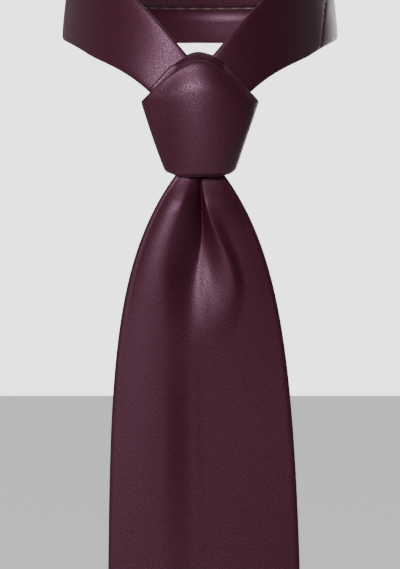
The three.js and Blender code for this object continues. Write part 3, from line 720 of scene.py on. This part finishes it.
# %% Rear wrap
REAR_TOP = -corner("knot_rear_wrap", 1)[2]
REAR_BOTTOM = -corner("knot_rear_wrap", 0)[2]


def rear_low(angle):
    return REAR_BOTTOM + 0 * angle


def rear_high(angle):
    return REAR_TOP + 0 * angle


def rear_swell(angle, t, drop):
    return 0.6 * np.sin(math.pi * t) + 0.15 * np.sin(angle * 7 + t * 5)


REAR_GAP = 0.06
rear_turns = np.linspace(WRAP_SIDE + REAR_GAP, 2 * math.pi - WRAP_SIDE - REAR_GAP, 81)
rear_sections = wrap_sections(rear_turns, rear_low, rear_high, rear_swell)
make("knot_rear", rear_sections, "burgundy_satin", "knot", ["knot_rear_wrap"])

# %% [markdown]
# ## Strips along a path
# The over pass, the neck loop and the keeper are the strip carried along a line. At each point of the
# line there are two directions: outwards, and across the strip, which is square to both the line and
# outwards.

# %% A flattened roll carried along a path
def strip_sections(path, out, width, thickness, columns=21, gathers=None, arch=0.0):
    """Carries a flattened roll along path (rows x 3). Across it is t from -1 to 1; its half thickness
    is that of a superellipse, (1 - |t|^6)^(1/2), so it's flat with round edges. gathers(t, row share)
    lifts the outer face, and the whole strip arches across: its edges hang back by arch t^2."""
    along = np.gradient(path, axis=0)
    along /= np.linalg.norm(along, axis=1, keepdims=True)
    out = out - along * np.sum(out * along, 1, keepdims=True)
    out /= np.linalg.norm(out, axis=1, keepdims=True)
    across = np.cross(out, along)
    t = np.linspace(-1, 1, columns)
    t = 0.4 * t + 0.6 * np.sin(t * math.pi / 2)
    half = np.sqrt(1 - np.abs(t) ** 6)[None, :] * np.reshape(thickness, (-1, 1)) / 2
    row = np.linspace(0, 1, len(path))[:, None]
    lift = 0 if gathers is None else gathers(t[None, :], row)
    sideways = (np.reshape(width, (-1, 1)) / 2 * t[None, :])[..., None] * across[:, None, :]
    hung = np.reshape(arch, (-1, 1)) * t[None, :] ** 2
    outer = path[:, None, :] + sideways + (half + lift - hung)[..., None] * out[:, None, :]
    inner = path[:, None, :] + sideways - (half + hung + 0 * lift)[..., None] * out[:, None, :]
    return np.concatenate([outer, inner[:, ::-1]], 1)


def resample(path, count):
    """The same line as count points at even distances."""
    walked = lengths_along(path)
    wanted = np.linspace(0, walked[-1], count)
    return np.stack([np.interp(wanted, walked, path[:, n]) for n in range(3)], -1)


# %% Over pass: from behind the knot, over its top and down inside the front wrap
OVER_PASS = 3.5
OVER_TOP_Z = corner("knot_over_pass", 1)[2]
OVER_REAR_Y = corner("knot_over_pass", 1)[1] - OVER_PASS / 2
OVER_FRONT_Y = corner("knot_over_pass", 0)[1] + OVER_PASS / 2
OVER_WIDTH = corner("knot_over_pass", 1)[0] * 2
over_radius = (OVER_REAR_Y - OVER_FRONT_Y) / 2
over_mid_y = (OVER_REAR_Y + OVER_FRONT_Y) / 2
over_spring_z = OVER_TOP_Z - OVER_PASS / 2 - over_radius

OVER_ROWS = 110
bend = np.linspace(0, math.pi, 5)
over_arch = np.stack(
    [0 * bend, over_mid_y + over_radius * np.cos(bend), over_spring_z + over_radius * np.sin(bend)], -1
)
over_path = smooth_line(
    np.concatenate(
        [
            [[-15.0, -76.0, -33.0], [-13.0, -70.5, -29.5]],
            [[-7.5, OVER_REAR_Y - 1.5, -23.0], [-2.0, OVER_REAR_Y, -15.0]],
            over_arch,
            [[0, OVER_FRONT_Y - 0.6, -20.0], [0, OVER_FRONT_Y, -38.0]],
        ]
    ),
    OVER_ROWS,
)
over_out = over_path - np.array([0, over_mid_y, over_spring_z])
over_out[:, 2] = np.maximum(over_out[:, 2], 0)
over_share = np.linspace(0, 1, OVER_ROWS)


def over_gathers(t, row):
    """Two soft folds run along the pass where it is squeezed between the straps."""
    return 0.45 * np.cos(5.2 * t + 0.7) * (1 - t**2) * bell(row, 0.4, 0.22)


over_widths = [10, 18, OVER_WIDTH - 2, OVER_WIDTH - 1, 20]
over_sections = strip_sections(
    over_path,
    over_out,
    np.interp(over_share, [0, 0.25, 0.5, 0.7, 1], over_widths),
    OVER_PASS,
    columns=41,
    gathers=over_gathers,
    arch=4.4 * bell(over_share, 0.56, 0.24),
)
make("knot_over_the_top", over_sections, "burgundy_satin", "knot", ["knot_over_pass"])

# %% [markdown]
# ## Layers inside the knot
# Between the wraps lie the crossing of the two straps, the first cross and the pass of the tail. They
# are pressed to soft slabs with rounded edges, narrower where the knot is.

# %% Slabs in the knot
def slab(name, node):
    """A pillow in the place of a packed layer: at each level a superellipse as wide as the knot less
    its wraps and as thick as the layer, with the first and last levels drawn in to round it."""
    low, high = corner(node, 0), corner(node, 1)
    levels = np.linspace(0, 1, 25)[:, None]
    drop = -(high[2] + (low[2] - high[2]) * levels)
    pull = (1 - np.abs(2 * levels - 1) ** 8) ** 0.5
    wide = np.minimum(knot_half_width(drop) - WRAP - 0.6, 9 + 0.9 * drop) * (0.9 + 0.1 * pull)
    deep = (high[1] - low[1]) / 2 * (0.25 + 0.75 * pull)
    t = np.linspace(-1, 1, 25)[None, :]
    t = 0.4 * t + 0.6 * np.sin(t * math.pi / 2)
    round_off = np.sqrt(1 - np.abs(t) ** 6)
    x = wide * t
    z = -drop + 0 * x
    y_mid = (low[1] + high[1]) / 2
    front = np.stack([x, y_mid - deep * round_off, z], -1)
    back = np.stack([x, y_mid + deep * round_off, z], -1)[:, ::-1]
    return make(name, np.concatenate([front, back], 1), "burgundy_satin", "knot", [node])


slab("knot_straps_inside", "knot_strap_crossing")
slab("knot_first_cross_inside", "knot_first_cross")
slab("knot_tail_inside", "knot_tail_pass")

# %% [markdown]
# ## The neck loop
# Three panels of the strip, pieced on the bias, go round the neck. The band stands on edge, leaning in
# a little at the top as on a collar stand, and its two ends run down and forward into the knot.

# %% Path of the loop
NECK_HALF = 60.0
NECK_DEPTH_HALF = 66.0
POINT = 10.0
BAND_WIDTH = 34.0
BAND_THICKNESS = 2.6
BAND_LEAN = 0.1
LOOP_START_DROP = 24.0
LOOP_RISE = 62.0
LOOP_EASE = 45.0


def loop_line(count=1441):
    """The middle of the band, from inside the knot round the left side, the back and the right side.
    In plan an ellipse with a point, cos^4, run forward; its height rises as 1 - e^(-distance)."""
    angle = np.linspace(0, 2 * math.pi, count)
    forward = POINT * np.maximum(0, np.cos(angle)) ** 4
    out = BAND_THICKNESS / 2
    x = -(NECK_HALF + out) * np.sin(angle)
    y = -(NECK_DEPTH_HALF + out) * np.cos(angle) - forward
    flat = lengths_along(np.stack([x, y, 0 * x], -1))
    from_knot = np.minimum(flat, flat[-1] - flat)
    z = LOOP_RISE * (1 - np.exp(-from_knot / LOOP_EASE)) - LOOP_START_DROP
    return np.stack([x, y, z], -1), flat


loop_path, loop_flat = loop_line()
LOOP_LENGTH = loop_flat[-1]


def loop_directions(distances):
    """Points of the loop's line at these distances, and the direction that faces out of the neck."""
    path = np.stack([np.interp(distances, loop_flat, loop_path[:, n]) for n in range(3)], -1)
    out = path * np.array([1 / NECK_HALF**2, 1 / NECK_DEPTH_HALF**2, 0])
    out /= np.linalg.norm(out, axis=1, keepdims=True)
    out[:, 2] = BAND_LEAN
    return path, out


def frame_along(path, out):
    """Unit vectors along the path, out square to it, and up the strip, square to both."""
    along = np.gradient(path, axis=0)
    along /= np.linalg.norm(along, axis=1, keepdims=True)
    out = out - along * np.sum(out * along, 1, keepdims=True)
    out /= np.linalg.norm(out, axis=1, keepdims=True)
    return along, out, np.cross(along, out)


LOOP_COLUMNS = 40
turn_round = np.linspace(-math.pi, math.pi, LOOP_COLUMNS)
LOOP_SIDE = np.sign(np.sin(turn_round)) * np.abs(np.sin(turn_round)) ** 0.5
LOOP_FACE = np.sign(np.cos(turn_round)) * np.abs(np.cos(turn_round)) ** 0.5
SLIT_HALF = 0.3


def wrapped_sections(path, out, width, thickness):
    """The satin folded round: each section starts at the slit in the middle of the inner face, goes
    round one edge, over the outer face, round the other edge and back to the slit; the second half is
    the same walk one cloth thickness inside. The outline is a superellipse of the fourth power."""
    along, out, up = frame_along(path, out)
    half, deep = np.reshape(width, (-1, 1)) / 2, thickness / 2
    faces = []
    for inset in (0.0, CLOTH):
        sideways = (half - inset) * LOOP_SIDE
        sideways[:, [0, -1]] = [-SLIT_HALF, SLIT_HALF]
        forward = (deep - inset) * LOOP_FACE
        moved = sideways[..., None] * up[:, None] + forward[..., None] * out[:, None]
        faces.append(path[:, None] + moved)
    return np.concatenate([faces[0], faces[1][:, ::-1]], 1)


def bias_cut(dense, first, step, start, end, slant_start, slant_end):
    """Trims a stretch of sections, first and step millimetres along, to panels whose ends run on the
    bias: each end lies further along by slant times the height up the strip, taken the same on every
    panel so that neighbours meet along one line. Between the two ends the rows are spread evenly, and
    each point is found between the two nearest sections."""
    rows, columns, _ = dense.shape
    height = BAND_WIDTH / 2 * np.concatenate([LOOP_SIDE, LOOP_SIDE[::-1]])
    share = np.linspace(0, 1, rows)[:, None]
    wanted = (start + slant_start * height) * (1 - share) + (end + slant_end * height) * share
    at = np.clip((wanted - first) / step, 0, rows - 1.001)
    low = at.astype(int)
    part = (at - low)[..., None]
    column = np.arange(columns)[None, :]
    return dense[low, column] * (1 - part) + dense[low + 1, column] * part


def band_width(d):
    """Full width round the neck, gathered to two thirds where the strap goes into the knot."""
    near = np.minimum(d, LOOP_LENGTH - d)
    return BAND_WIDTH * (0.66 + 0.34 * smooth_step(near, 8, 55))


def band_thickness(d):
    near = np.minimum(d, LOOP_LENGTH - d)
    return BAND_THICKNESS + 1.6 * (1 - smooth_step(near, 8, 45))


# %% Panels of the loop
SEAM_LEFT = 92.0
SEAM_RIGHT = 78.0
SEAM_SLANT = 0.9
SEAM_DIP = 0.25
SEAM_GAP = 0.08
STRAP_END = 9.0
LOOP_STEP = 1.0
RIGHT_SEAM_AT = LOOP_LENGTH - SEAM_RIGHT


def loop_thickness(distances):
    """Thickness at each distance and column: it sinks along both slanted seams by a bell."""
    height = LOOP_SIDE * BAND_WIDTH / 2
    d = distances[:, None]
    dips = bell(d, SEAM_LEFT + SEAM_SLANT * height, 1.4)
    dips = dips + bell(d, RIGHT_SEAM_AT - SEAM_SLANT * height, 1.4)
    return band_thickness(d) - 2 * SEAM_DIP * dips


SPARE_LENGTH = 22


def loop_panel(name, start, end, slant_start, slant_end, nodes):
    """One of the three satin panels of the loop, with its bias-cut ends. It is made with a spare length
    at each end, from which the slant is cut."""
    first = max(start - SPARE_LENGTH, 0.5)
    distances = np.arange(first, min(end + SPARE_LENGTH, LOOP_LENGTH - 0.5), LOOP_STEP)
    path, out = loop_directions(distances)
    dense = wrapped_sections(path, out, band_width(distances), loop_thickness(distances))
    sections = bias_cut(dense, first, LOOP_STEP, start, end, slant_start, slant_end)
    return make(name, sections, "burgundy_satin", None, nodes)


left_arm = loop_panel(
    "neck_loop_left",
    STRAP_END,
    SEAM_LEFT - SEAM_GAP,
    0,
    SEAM_SLANT,
    ["blade_side_arm", "blade_side_strap"],
)
right_arm = loop_panel(
    "neck_loop_right",
    RIGHT_SEAM_AT + SEAM_GAP,
    LOOP_LENGTH - STRAP_END,
    -SEAM_SLANT,
    0,
    ["tail_side_arm", "tail_side_strap"],
)
neck_band = loop_panel(
    "neck_loop_band",
    SEAM_LEFT + SEAM_GAP,
    RIGHT_SEAM_AT - SEAM_GAP,
    SEAM_SLANT,
    -SEAM_SLANT,
    ["neck_band"],
)
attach(neck_band, "neck_loop")
for arm in (left_arm, right_arm):
    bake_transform(arm)
print("the loop is", round(LOOP_LENGTH), "mm round")

# %% [markdown]
# ### Inside and along the loop
# Brushed wool fills the folded satin. Two seams on the bias join the panels, and a slip stitch closes
# the slit on the inner face. The stitches are short threads that rise out of the cloth and sink back.

# %% Wool, piecing seams and slip stitch of the loop
LOOP_STRAP = 66.0
wool_at = np.linspace(LOOP_STRAP, LOOP_LENGTH - LOOP_STRAP, 220)
wool_path, wool_out = loop_directions(wool_at)
wool_sections = strip_sections(wool_path, wool_out, band_width(wool_at) - 3.2, 0 * wool_at + 1.0)
make("neck_loop_wool", wool_sections, "wool_interlining", "neck_loop", ["neck_interlining"])


SEAM_REACH = 17.3
SEAM_PITCH = 2.6
SEAM_STITCH = 1.9


def seam_stitches(name, seam_at, slant, node):
    """Stitches along a slanted seam, on both faces of the loop."""
    height = np.arange(-15.5, 15.6, SEAM_PITCH)
    rows = []
    for face in (1, -1):
        ends = []
        for h in (height, height + SEAM_STITCH):
            distances = seam_at + slant * h
            path, out = loop_directions(distances)
            nearby = loop_directions(distances + 0.5)[0]
            along = (nearby - path) / np.linalg.norm(nearby - path, axis=1, keepdims=True)
            out = out - along * np.sum(out * along, 1, keepdims=True)
            out /= np.linalg.norm(out, axis=1, keepdims=True)
            up = np.cross(along, out)
            deep = BAND_THICKNESS / 2 * np.sqrt(np.sqrt(1 - (h / SEAM_REACH) ** 4)) - SEAM_DIP - 0.1
            ends.append(path + up * h[:, None] + face * deep[:, None] * out)
        rows.append(stitches(ends[0], ends[1], face * out[:, None, :], 0.2, 0.2))
    make(name, np.concatenate(rows), "sewing_thread", "neck_loop", [node])


seam_stitches("loop_seam_left", SEAM_LEFT, SEAM_SLANT, "piecing_seam_left")
seam_stitches("loop_seam_right", RIGHT_SEAM_AT, -SEAM_SLANT, "piecing_seam_right")

SLIP_PITCH = 7.0
SLIP_STITCH = 4.6
slip_at = np.arange(LOOP_STRAP, LOOP_LENGTH - LOOP_STRAP - 4, SLIP_PITCH)
slip_ends = []
for offset in (0.0, SLIP_STITCH):
    path, out = loop_directions(slip_at + offset)
    slip_ends.append(path - out * (BAND_THICKNESS / 2 - 0.1))
slip_sections = stitches(*slip_ends, -out[:, None, :], 0.2, 0.15)
make("neck_loop_slip_stitch", slip_sections, "sewing_thread", "neck_loop")

# %% [markdown]
# ## The tail
# The narrow end hangs behind the blade and runs through the keeper. Its upper stretch, which on the
# tie shortens when the knot is drawn down, is a piece of its own that rides on the blade.

# %% Tail
TAIL_TAPER = 0.03
TAIL_GATHER = 20.0
TAIL_SPREAD = 14.0
TAIL_OPENING = 62.0
TAIL_ROOT_DROP = 16.0


def tail_half_width(drop):
    shoulder = TAIL_LENGTH - TAIL_WIDTH / 2
    full = TAIL_WIDTH - TAIL_TAPER * (shoulder - drop) - TAIL_GATHER * np.exp(-drop / TAIL_SPREAD)
    return np.clip(np.minimum(full / 2, TAIL_LENGTH - drop), 0.3, None)


def no_folds(a, s):
    return 0.25 * (1 - a**2) + 0 * s, 0


def no_drift(s):
    return 0 * s


def tail_edge(s):
    return flap_edge(s, TAIL_LENGTH, TAIL_WIDTH / 2, TAIL_OPENING)


def tail_piece(name, drops, nodes):
    sections = folded_strip(
        drops, tail_half_width, TAIL_FRONT_Y, TAIL_BACK_Y, tail_edge, no_folds, no_drift
    )
    return make(name, hang(sections), "burgundy_satin", None, nodes)


tail_top_drop = MOUTH_Z - TAIL_TOP_Z
tail_root = tail_piece("tail_under_knot", np.linspace(-3, TAIL_ROOT_DROP, 20), [])
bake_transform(tail_root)
tail_upper = tail_piece("tail_upper", np.linspace(TAIL_ROOT_DROP, tail_top_drop, 60), ["tail_head"])
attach(tail_upper, "blade")
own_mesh(tail_upper)
tail_drops = np.concatenate(
    [
        np.linspace(tail_top_drop, TAIL_LENGTH - 26, 60),
        np.linspace(TAIL_LENGTH - 25, TAIL_LENGTH - 0.4, 24),
    ]
)
tail_lower = tail_piece("tail_lower", tail_drops, ["tail_envelope"])
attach(tail_lower, "tail")

tail_tip_drops = np.linspace(TAIL_LENGTH - 25, TAIL_LENGTH - 4, 14)
hung_panel(
    "tail_interlining_wool",
    np.concatenate([np.linspace(tail_top_drop + 1, TAIL_LENGTH - 26, 40), tail_tip_drops]),
    tail_half_width,
    TAIL_FRONT_Y + 1.0,
    1.0,
    no_drift,
    "wool_interlining",
    "tail",
    "tail_interlining",
)
hung_panel(
    "tail_tip_lining",
    np.concatenate([np.linspace(TAIL_LENGTH - TAIL_OPENING - 9, TAIL_LENGTH - 26, 20), tail_tip_drops]),
    tail_half_width,
    TAIL_BACK_Y - 1.0,
    0.3,
    no_drift,
    "tipping_lining",
    "tail",
    "tail_tipping",
)

# %% [markdown]
# ## Sewing on the backs
# A slip stitch closes each envelope down the middle of its back. It is one loose thread, which shows
# as short stitches in the seam. Where the envelope opens over the lining, a bar tack holds the end: a
# thread wound back and forth across the seam until it stands up as a small bar.

# %% Slip stitches and bar tacks
BACK = np.array([0.0, 1.0, 0.0])


def slip_stitch(name, node, body, from_drop, to_drop, back_y, middle):
    """Stitches 4.4 mm long in every 6.5 mm, leaning a little to either side in turn."""
    drops = np.arange(from_drop, to_drop - 4.4, 6.5)
    lean = 0.25 * np.where(np.arange(len(drops)) % 2, 1, -1)
    starts = np.stack([middle(drops) - lean, back_y + 0 * drops, MOUTH_Z - drops], -1)
    ends = np.stack([middle(drops + 4.4) + lean, back_y + 0 * drops, MOUTH_Z - drops - 4.4], -1)
    return make(name, hang(stitches(starts, ends, BACK, 0.2, 0.12)), "sewing_thread", body, [node])


BAR_TURNS = 22


def bar_tack(name, node, body, middle):
    """One thread wound many times across the seam: x runs along the bar, z swings up and down as a
    cosine and y rises over the bar as the sine of the same turn."""
    low, high = corner(node, 0), corner(node, 1)
    turns = np.linspace(0, BAR_TURNS * 2 * math.pi, BAR_TURNS * 12)
    x = np.linspace(low[0], high[0], len(turns)) + middle(MOUTH_Z - low[2])
    z = (low[2] + high[2]) / 2 + (high[2] - low[2]) / 2 * np.cos(turns)
    y = high[1] - 0.25 + 0.22 * np.sin(turns)
    path = np.stack([x, y, z], -1)[None]
    return make(name, hang(threads(path, BACK, 0.19)), "sewing_thread", body, [node])


BLADE_SEAM = (72, MOUTH_Z + 380, BLADE_BACK_Y - 0.05)
TAIL_SEAM = (tail_top_drop + 3, MOUTH_Z + 288, TAIL_BACK_Y - 0.05)
slip_stitch("blade_slip_stitches", "blade_slip_stitch", "blade", *BLADE_SEAM, blade_middle)
slip_stitch("tail_slip_stitches", "tail_slip_stitch", "tail", *TAIL_SEAM, no_drift)
bar_tack("blade_bar_tack_thread", "blade_bar_tack", "blade", blade_middle)
bar_tack("tail_bar_tack_thread", "tail_bar_tack", "tail", no_drift)

# %% [markdown]
# ## Keeper, label and care tag
# The keeper is a doubled strip of the same satin, sewn down at both ends, that holds the tail. Under it
# are a woven label, left blank here, and a short tape. All three follow the hang of the blade.

# %% Keeper
KEEPER_CLOTH = 0.8
keeper_low, keeper_high = corner("keeper_loop", 0), corner("keeper_loop", 1)
keeper_half, keeper_z = keeper_high[0], (keeper_low[2] + keeper_high[2]) / 2
keeper_height = keeper_high[2] - keeper_low[2]
KEEPER_FOOT = 8.0
rise_at = keeper_half - KEEPER_FOOT
span = np.linspace(-1, 1, 161)
keeper_x = span * keeper_half
lift = 1 - smooth_step(np.abs(keeper_x), rise_at - 2.2, rise_at + 1.0)
foot_y, top_y = keeper_low[1] + KEEPER_CLOTH / 2, keeper_high[1] - KEEPER_CLOTH / 2
keeper_y = foot_y + (top_y - foot_y) * lift
keeper_path = np.stack([keeper_x, keeper_y, keeper_z + 0 * keeper_x], -1)
keeper_path = resample(keeper_path, 170)
keeper_path[:, 0] += blade_middle(MOUTH_Z - keeper_z)
keeper_sections = strip_sections(keeper_path, 0 * keeper_path + BACK, keeper_height, KEEPER_CLOTH, 31)
make("keeper_strap", hang(keeper_sections), "burgundy_satin", "blade", ["keeper_loop"])

row_z = keeper_z + np.linspace(-keeper_height / 2 + 1.2, keeper_height / 2 - 3.0, 7)
starts = []
for x in (-keeper_half + 2, -rise_at - 2.5, rise_at + 2.5, keeper_half - 2):
    x_now = x + blade_middle(MOUTH_Z - keeper_z)
    foot_top = keeper_low[1] + KEEPER_CLOTH - 0.05
    starts.append(np.stack([0 * row_z + x_now, 0 * row_z + foot_top, row_z], -1))
starts = np.concatenate(starts)
sewn = stitches(starts, starts + np.array([0, 0, 1.5]), BACK, 0.18, 0.12)
make("keeper_stitches", hang(sewn), "sewing_thread", "blade")

# %% Label and tape
def patch(name, node, slot, hem, border, curl):
    """A small flat weaving: thicker by a turned hem at both sides, with a raised border line inside it
    and a lower edge that curls away from the blade as a square."""
    low, high = corner(node, 0), corner(node, 1)
    half = (high[0] - low[0]) / 2
    z = np.linspace(high[2], low[2], 41)[:, None]
    x = half * np.sin(np.linspace(-1, 1, 61) * math.pi / 2)[None, :]
    down = (high[2] - z) / (high[2] - low[2])
    near_side = half - np.abs(x)
    near_end = np.minimum(high[2] - z, z - low[2])
    raised = 0.18 * (1 - smooth_step(near_side, hem, hem + 0.5))
    raised = raised + border * bell(np.minimum(near_side, near_end + 0.3), 3.0, 0.5)
    back = high[1] + raised + curl * down**2 + 0.08 * np.sin(x / 3 + z / 4)
    x = x + blade_middle(MOUTH_Z - z)
    z = z + 0 * x
    front = np.stack([x, back - raised - (high[1] - low[1]), z], -1)
    sections = np.concatenate([np.stack([x, back, z], -1), front[:, ::-1]], 1)
    return make(name, hang(sections), slot, "blade", [node])


patch("woven_blank_label", "blank_label", "woven_label", 2.0, 0.12, 0.0)
patch("care_tag_tape", "care_tag", "care_tape", 0.0, 0.0, 0.8)

label_low, label_high = corner("blank_label", 0), corner("blank_label", 1)
tack_z = np.linspace(label_low[2] + 1.0, label_high[2] - 2.4, 9)
starts = []
for x in (label_low[0] + 1.0, label_high[0] - 1.0):
    x_now = x + blade_middle(MOUTH_Z - tack_z)
    starts.append(np.stack([x_now, 0 * tack_z + label_high[1] + 0.15, tack_z], -1))
tag_x = np.linspace(-4.8, 3.6, 5) + blade_middle(MOUTH_Z - label_low[2])
starts = np.concatenate(starts)
tag_z = corner("care_tag", 1)[2] - 1.2
tag_starts = np.stack([tag_x, 0 * tag_x + label_high[1], 0 * tag_x + tag_z], -1)
down_sides = stitches(starts, starts + np.array([0, 0, 1.2]), BACK, 0.15, 0.15)
over_tag = stitches(tag_starts, tag_starts + np.array([1.2, 0, 0]), BACK, 0.15, 0.15)
make("label_stitches", hang(np.concatenate([down_sides, over_tag])), "sewing_thread", "blade")

# %% [markdown]

# %% [markdown]
# ## Stage and light
# A plain pale floor and a soft studio. The key light stands high on the left in front; the light round
# the tie comes mostly from behind, which keeps the folds deep and the edges of the satin bright.

# %% Stage and light
FLOOR_Z = BLADE_TIP_Z - 60
FLOOR_HALF = 9000
FLOOR_GLOW = 0.55
floor_mesh = bpy.data.meshes.new("floor")
floor_corners = np.array([(-1, -1, 0), (1, -1, 0), (1, 1, 0), (-1, 1, 0)]) * FLOOR_HALF
floor_corners = floor_corners + [0, 0, FLOOR_Z]
floor_mesh.from_pydata((floor_corners * MM).tolist(), [], [(0, 1, 2, 3)])
pale, tree = new_material("pale paper")
seen_directly = add(tree, "LightPath").outputs["Is Camera Ray"]
glow = add(tree, "Math", {1: FLOOR_GLOW}, {0: seen_directly}, operation="MULTIPLY").outputs["Value"]
surface(
    pale,
    {"Base Color": linear("#ececea"), "Roughness": 0.8, "Emission Color": (1, 1, 1, 1)},
    {"Emission Strength": glow},
)
floor_mesh.materials.append(pale)
floor = bpy.data.objects.new("floor", floor_mesh)
bpy.context.scene.collection.objects.link(floor)


def softbox(name, place, size, power):
    """A square area light, size across, aimed at the knot."""
    data = bpy.data.lights.new(name, "AREA")
    data.shape = "SQUARE"
    data.size = size
    data.energy = power
    light = bpy.data.objects.new(name, data)
    bpy.context.scene.collection.objects.link(light)
    target = np.array([0, BLADE_FRONT_Y, MOUTH_Z - 30]) * MM
    direction = target - np.array(place)
    light.location = place
    light.rotation_euler = (
        math.acos(-direction[2] / np.linalg.norm(direction)),
        0,
        math.atan2(direction[1], direction[0]) - math.pi / 2,
    )
    return light


softbox("key light", (-0.75, -1.45, 0.78), 0.6, 27)
softbox("light from behind", (0.6, 1.7, 0.15), 0.9, 13)

world = bpy.data.worlds.new("studio")
world.use_nodes = True
sky = world.node_tree
sky.nodes.clear()
direction = add(sky, "TexCoord").outputs["Generated"]
backward = add(sky, "SeparateXYZ", {}, {"Vector": direction}).outputs["Y"]
falloff = {"From Min": -0.1, "From Max": 1.0, "To Min": 0.08, "To Max": 0.5}
strength = add(sky, "MapRange", falloff, {"Value": backward})
seen = add(sky, "Background", {"Color": (1, 1, 1, 1), "Strength": 2.9})
lit = add(sky, "Background", {"Color": (0.93, 0.95, 1, 1)}, {"Strength": strength.outputs["Result"]})
is_camera = add(sky, "LightPath").outputs["Is Camera Ray"]
either = add(
    sky, "MixShader", {}, {0: is_camera, 1: lit.outputs["Background"], 2: seen.outputs["Background"]}
)
add(sky, "OutputWorld", {}, {"Surface": either.outputs["Shader"]})
bpy.context.scene.world = world
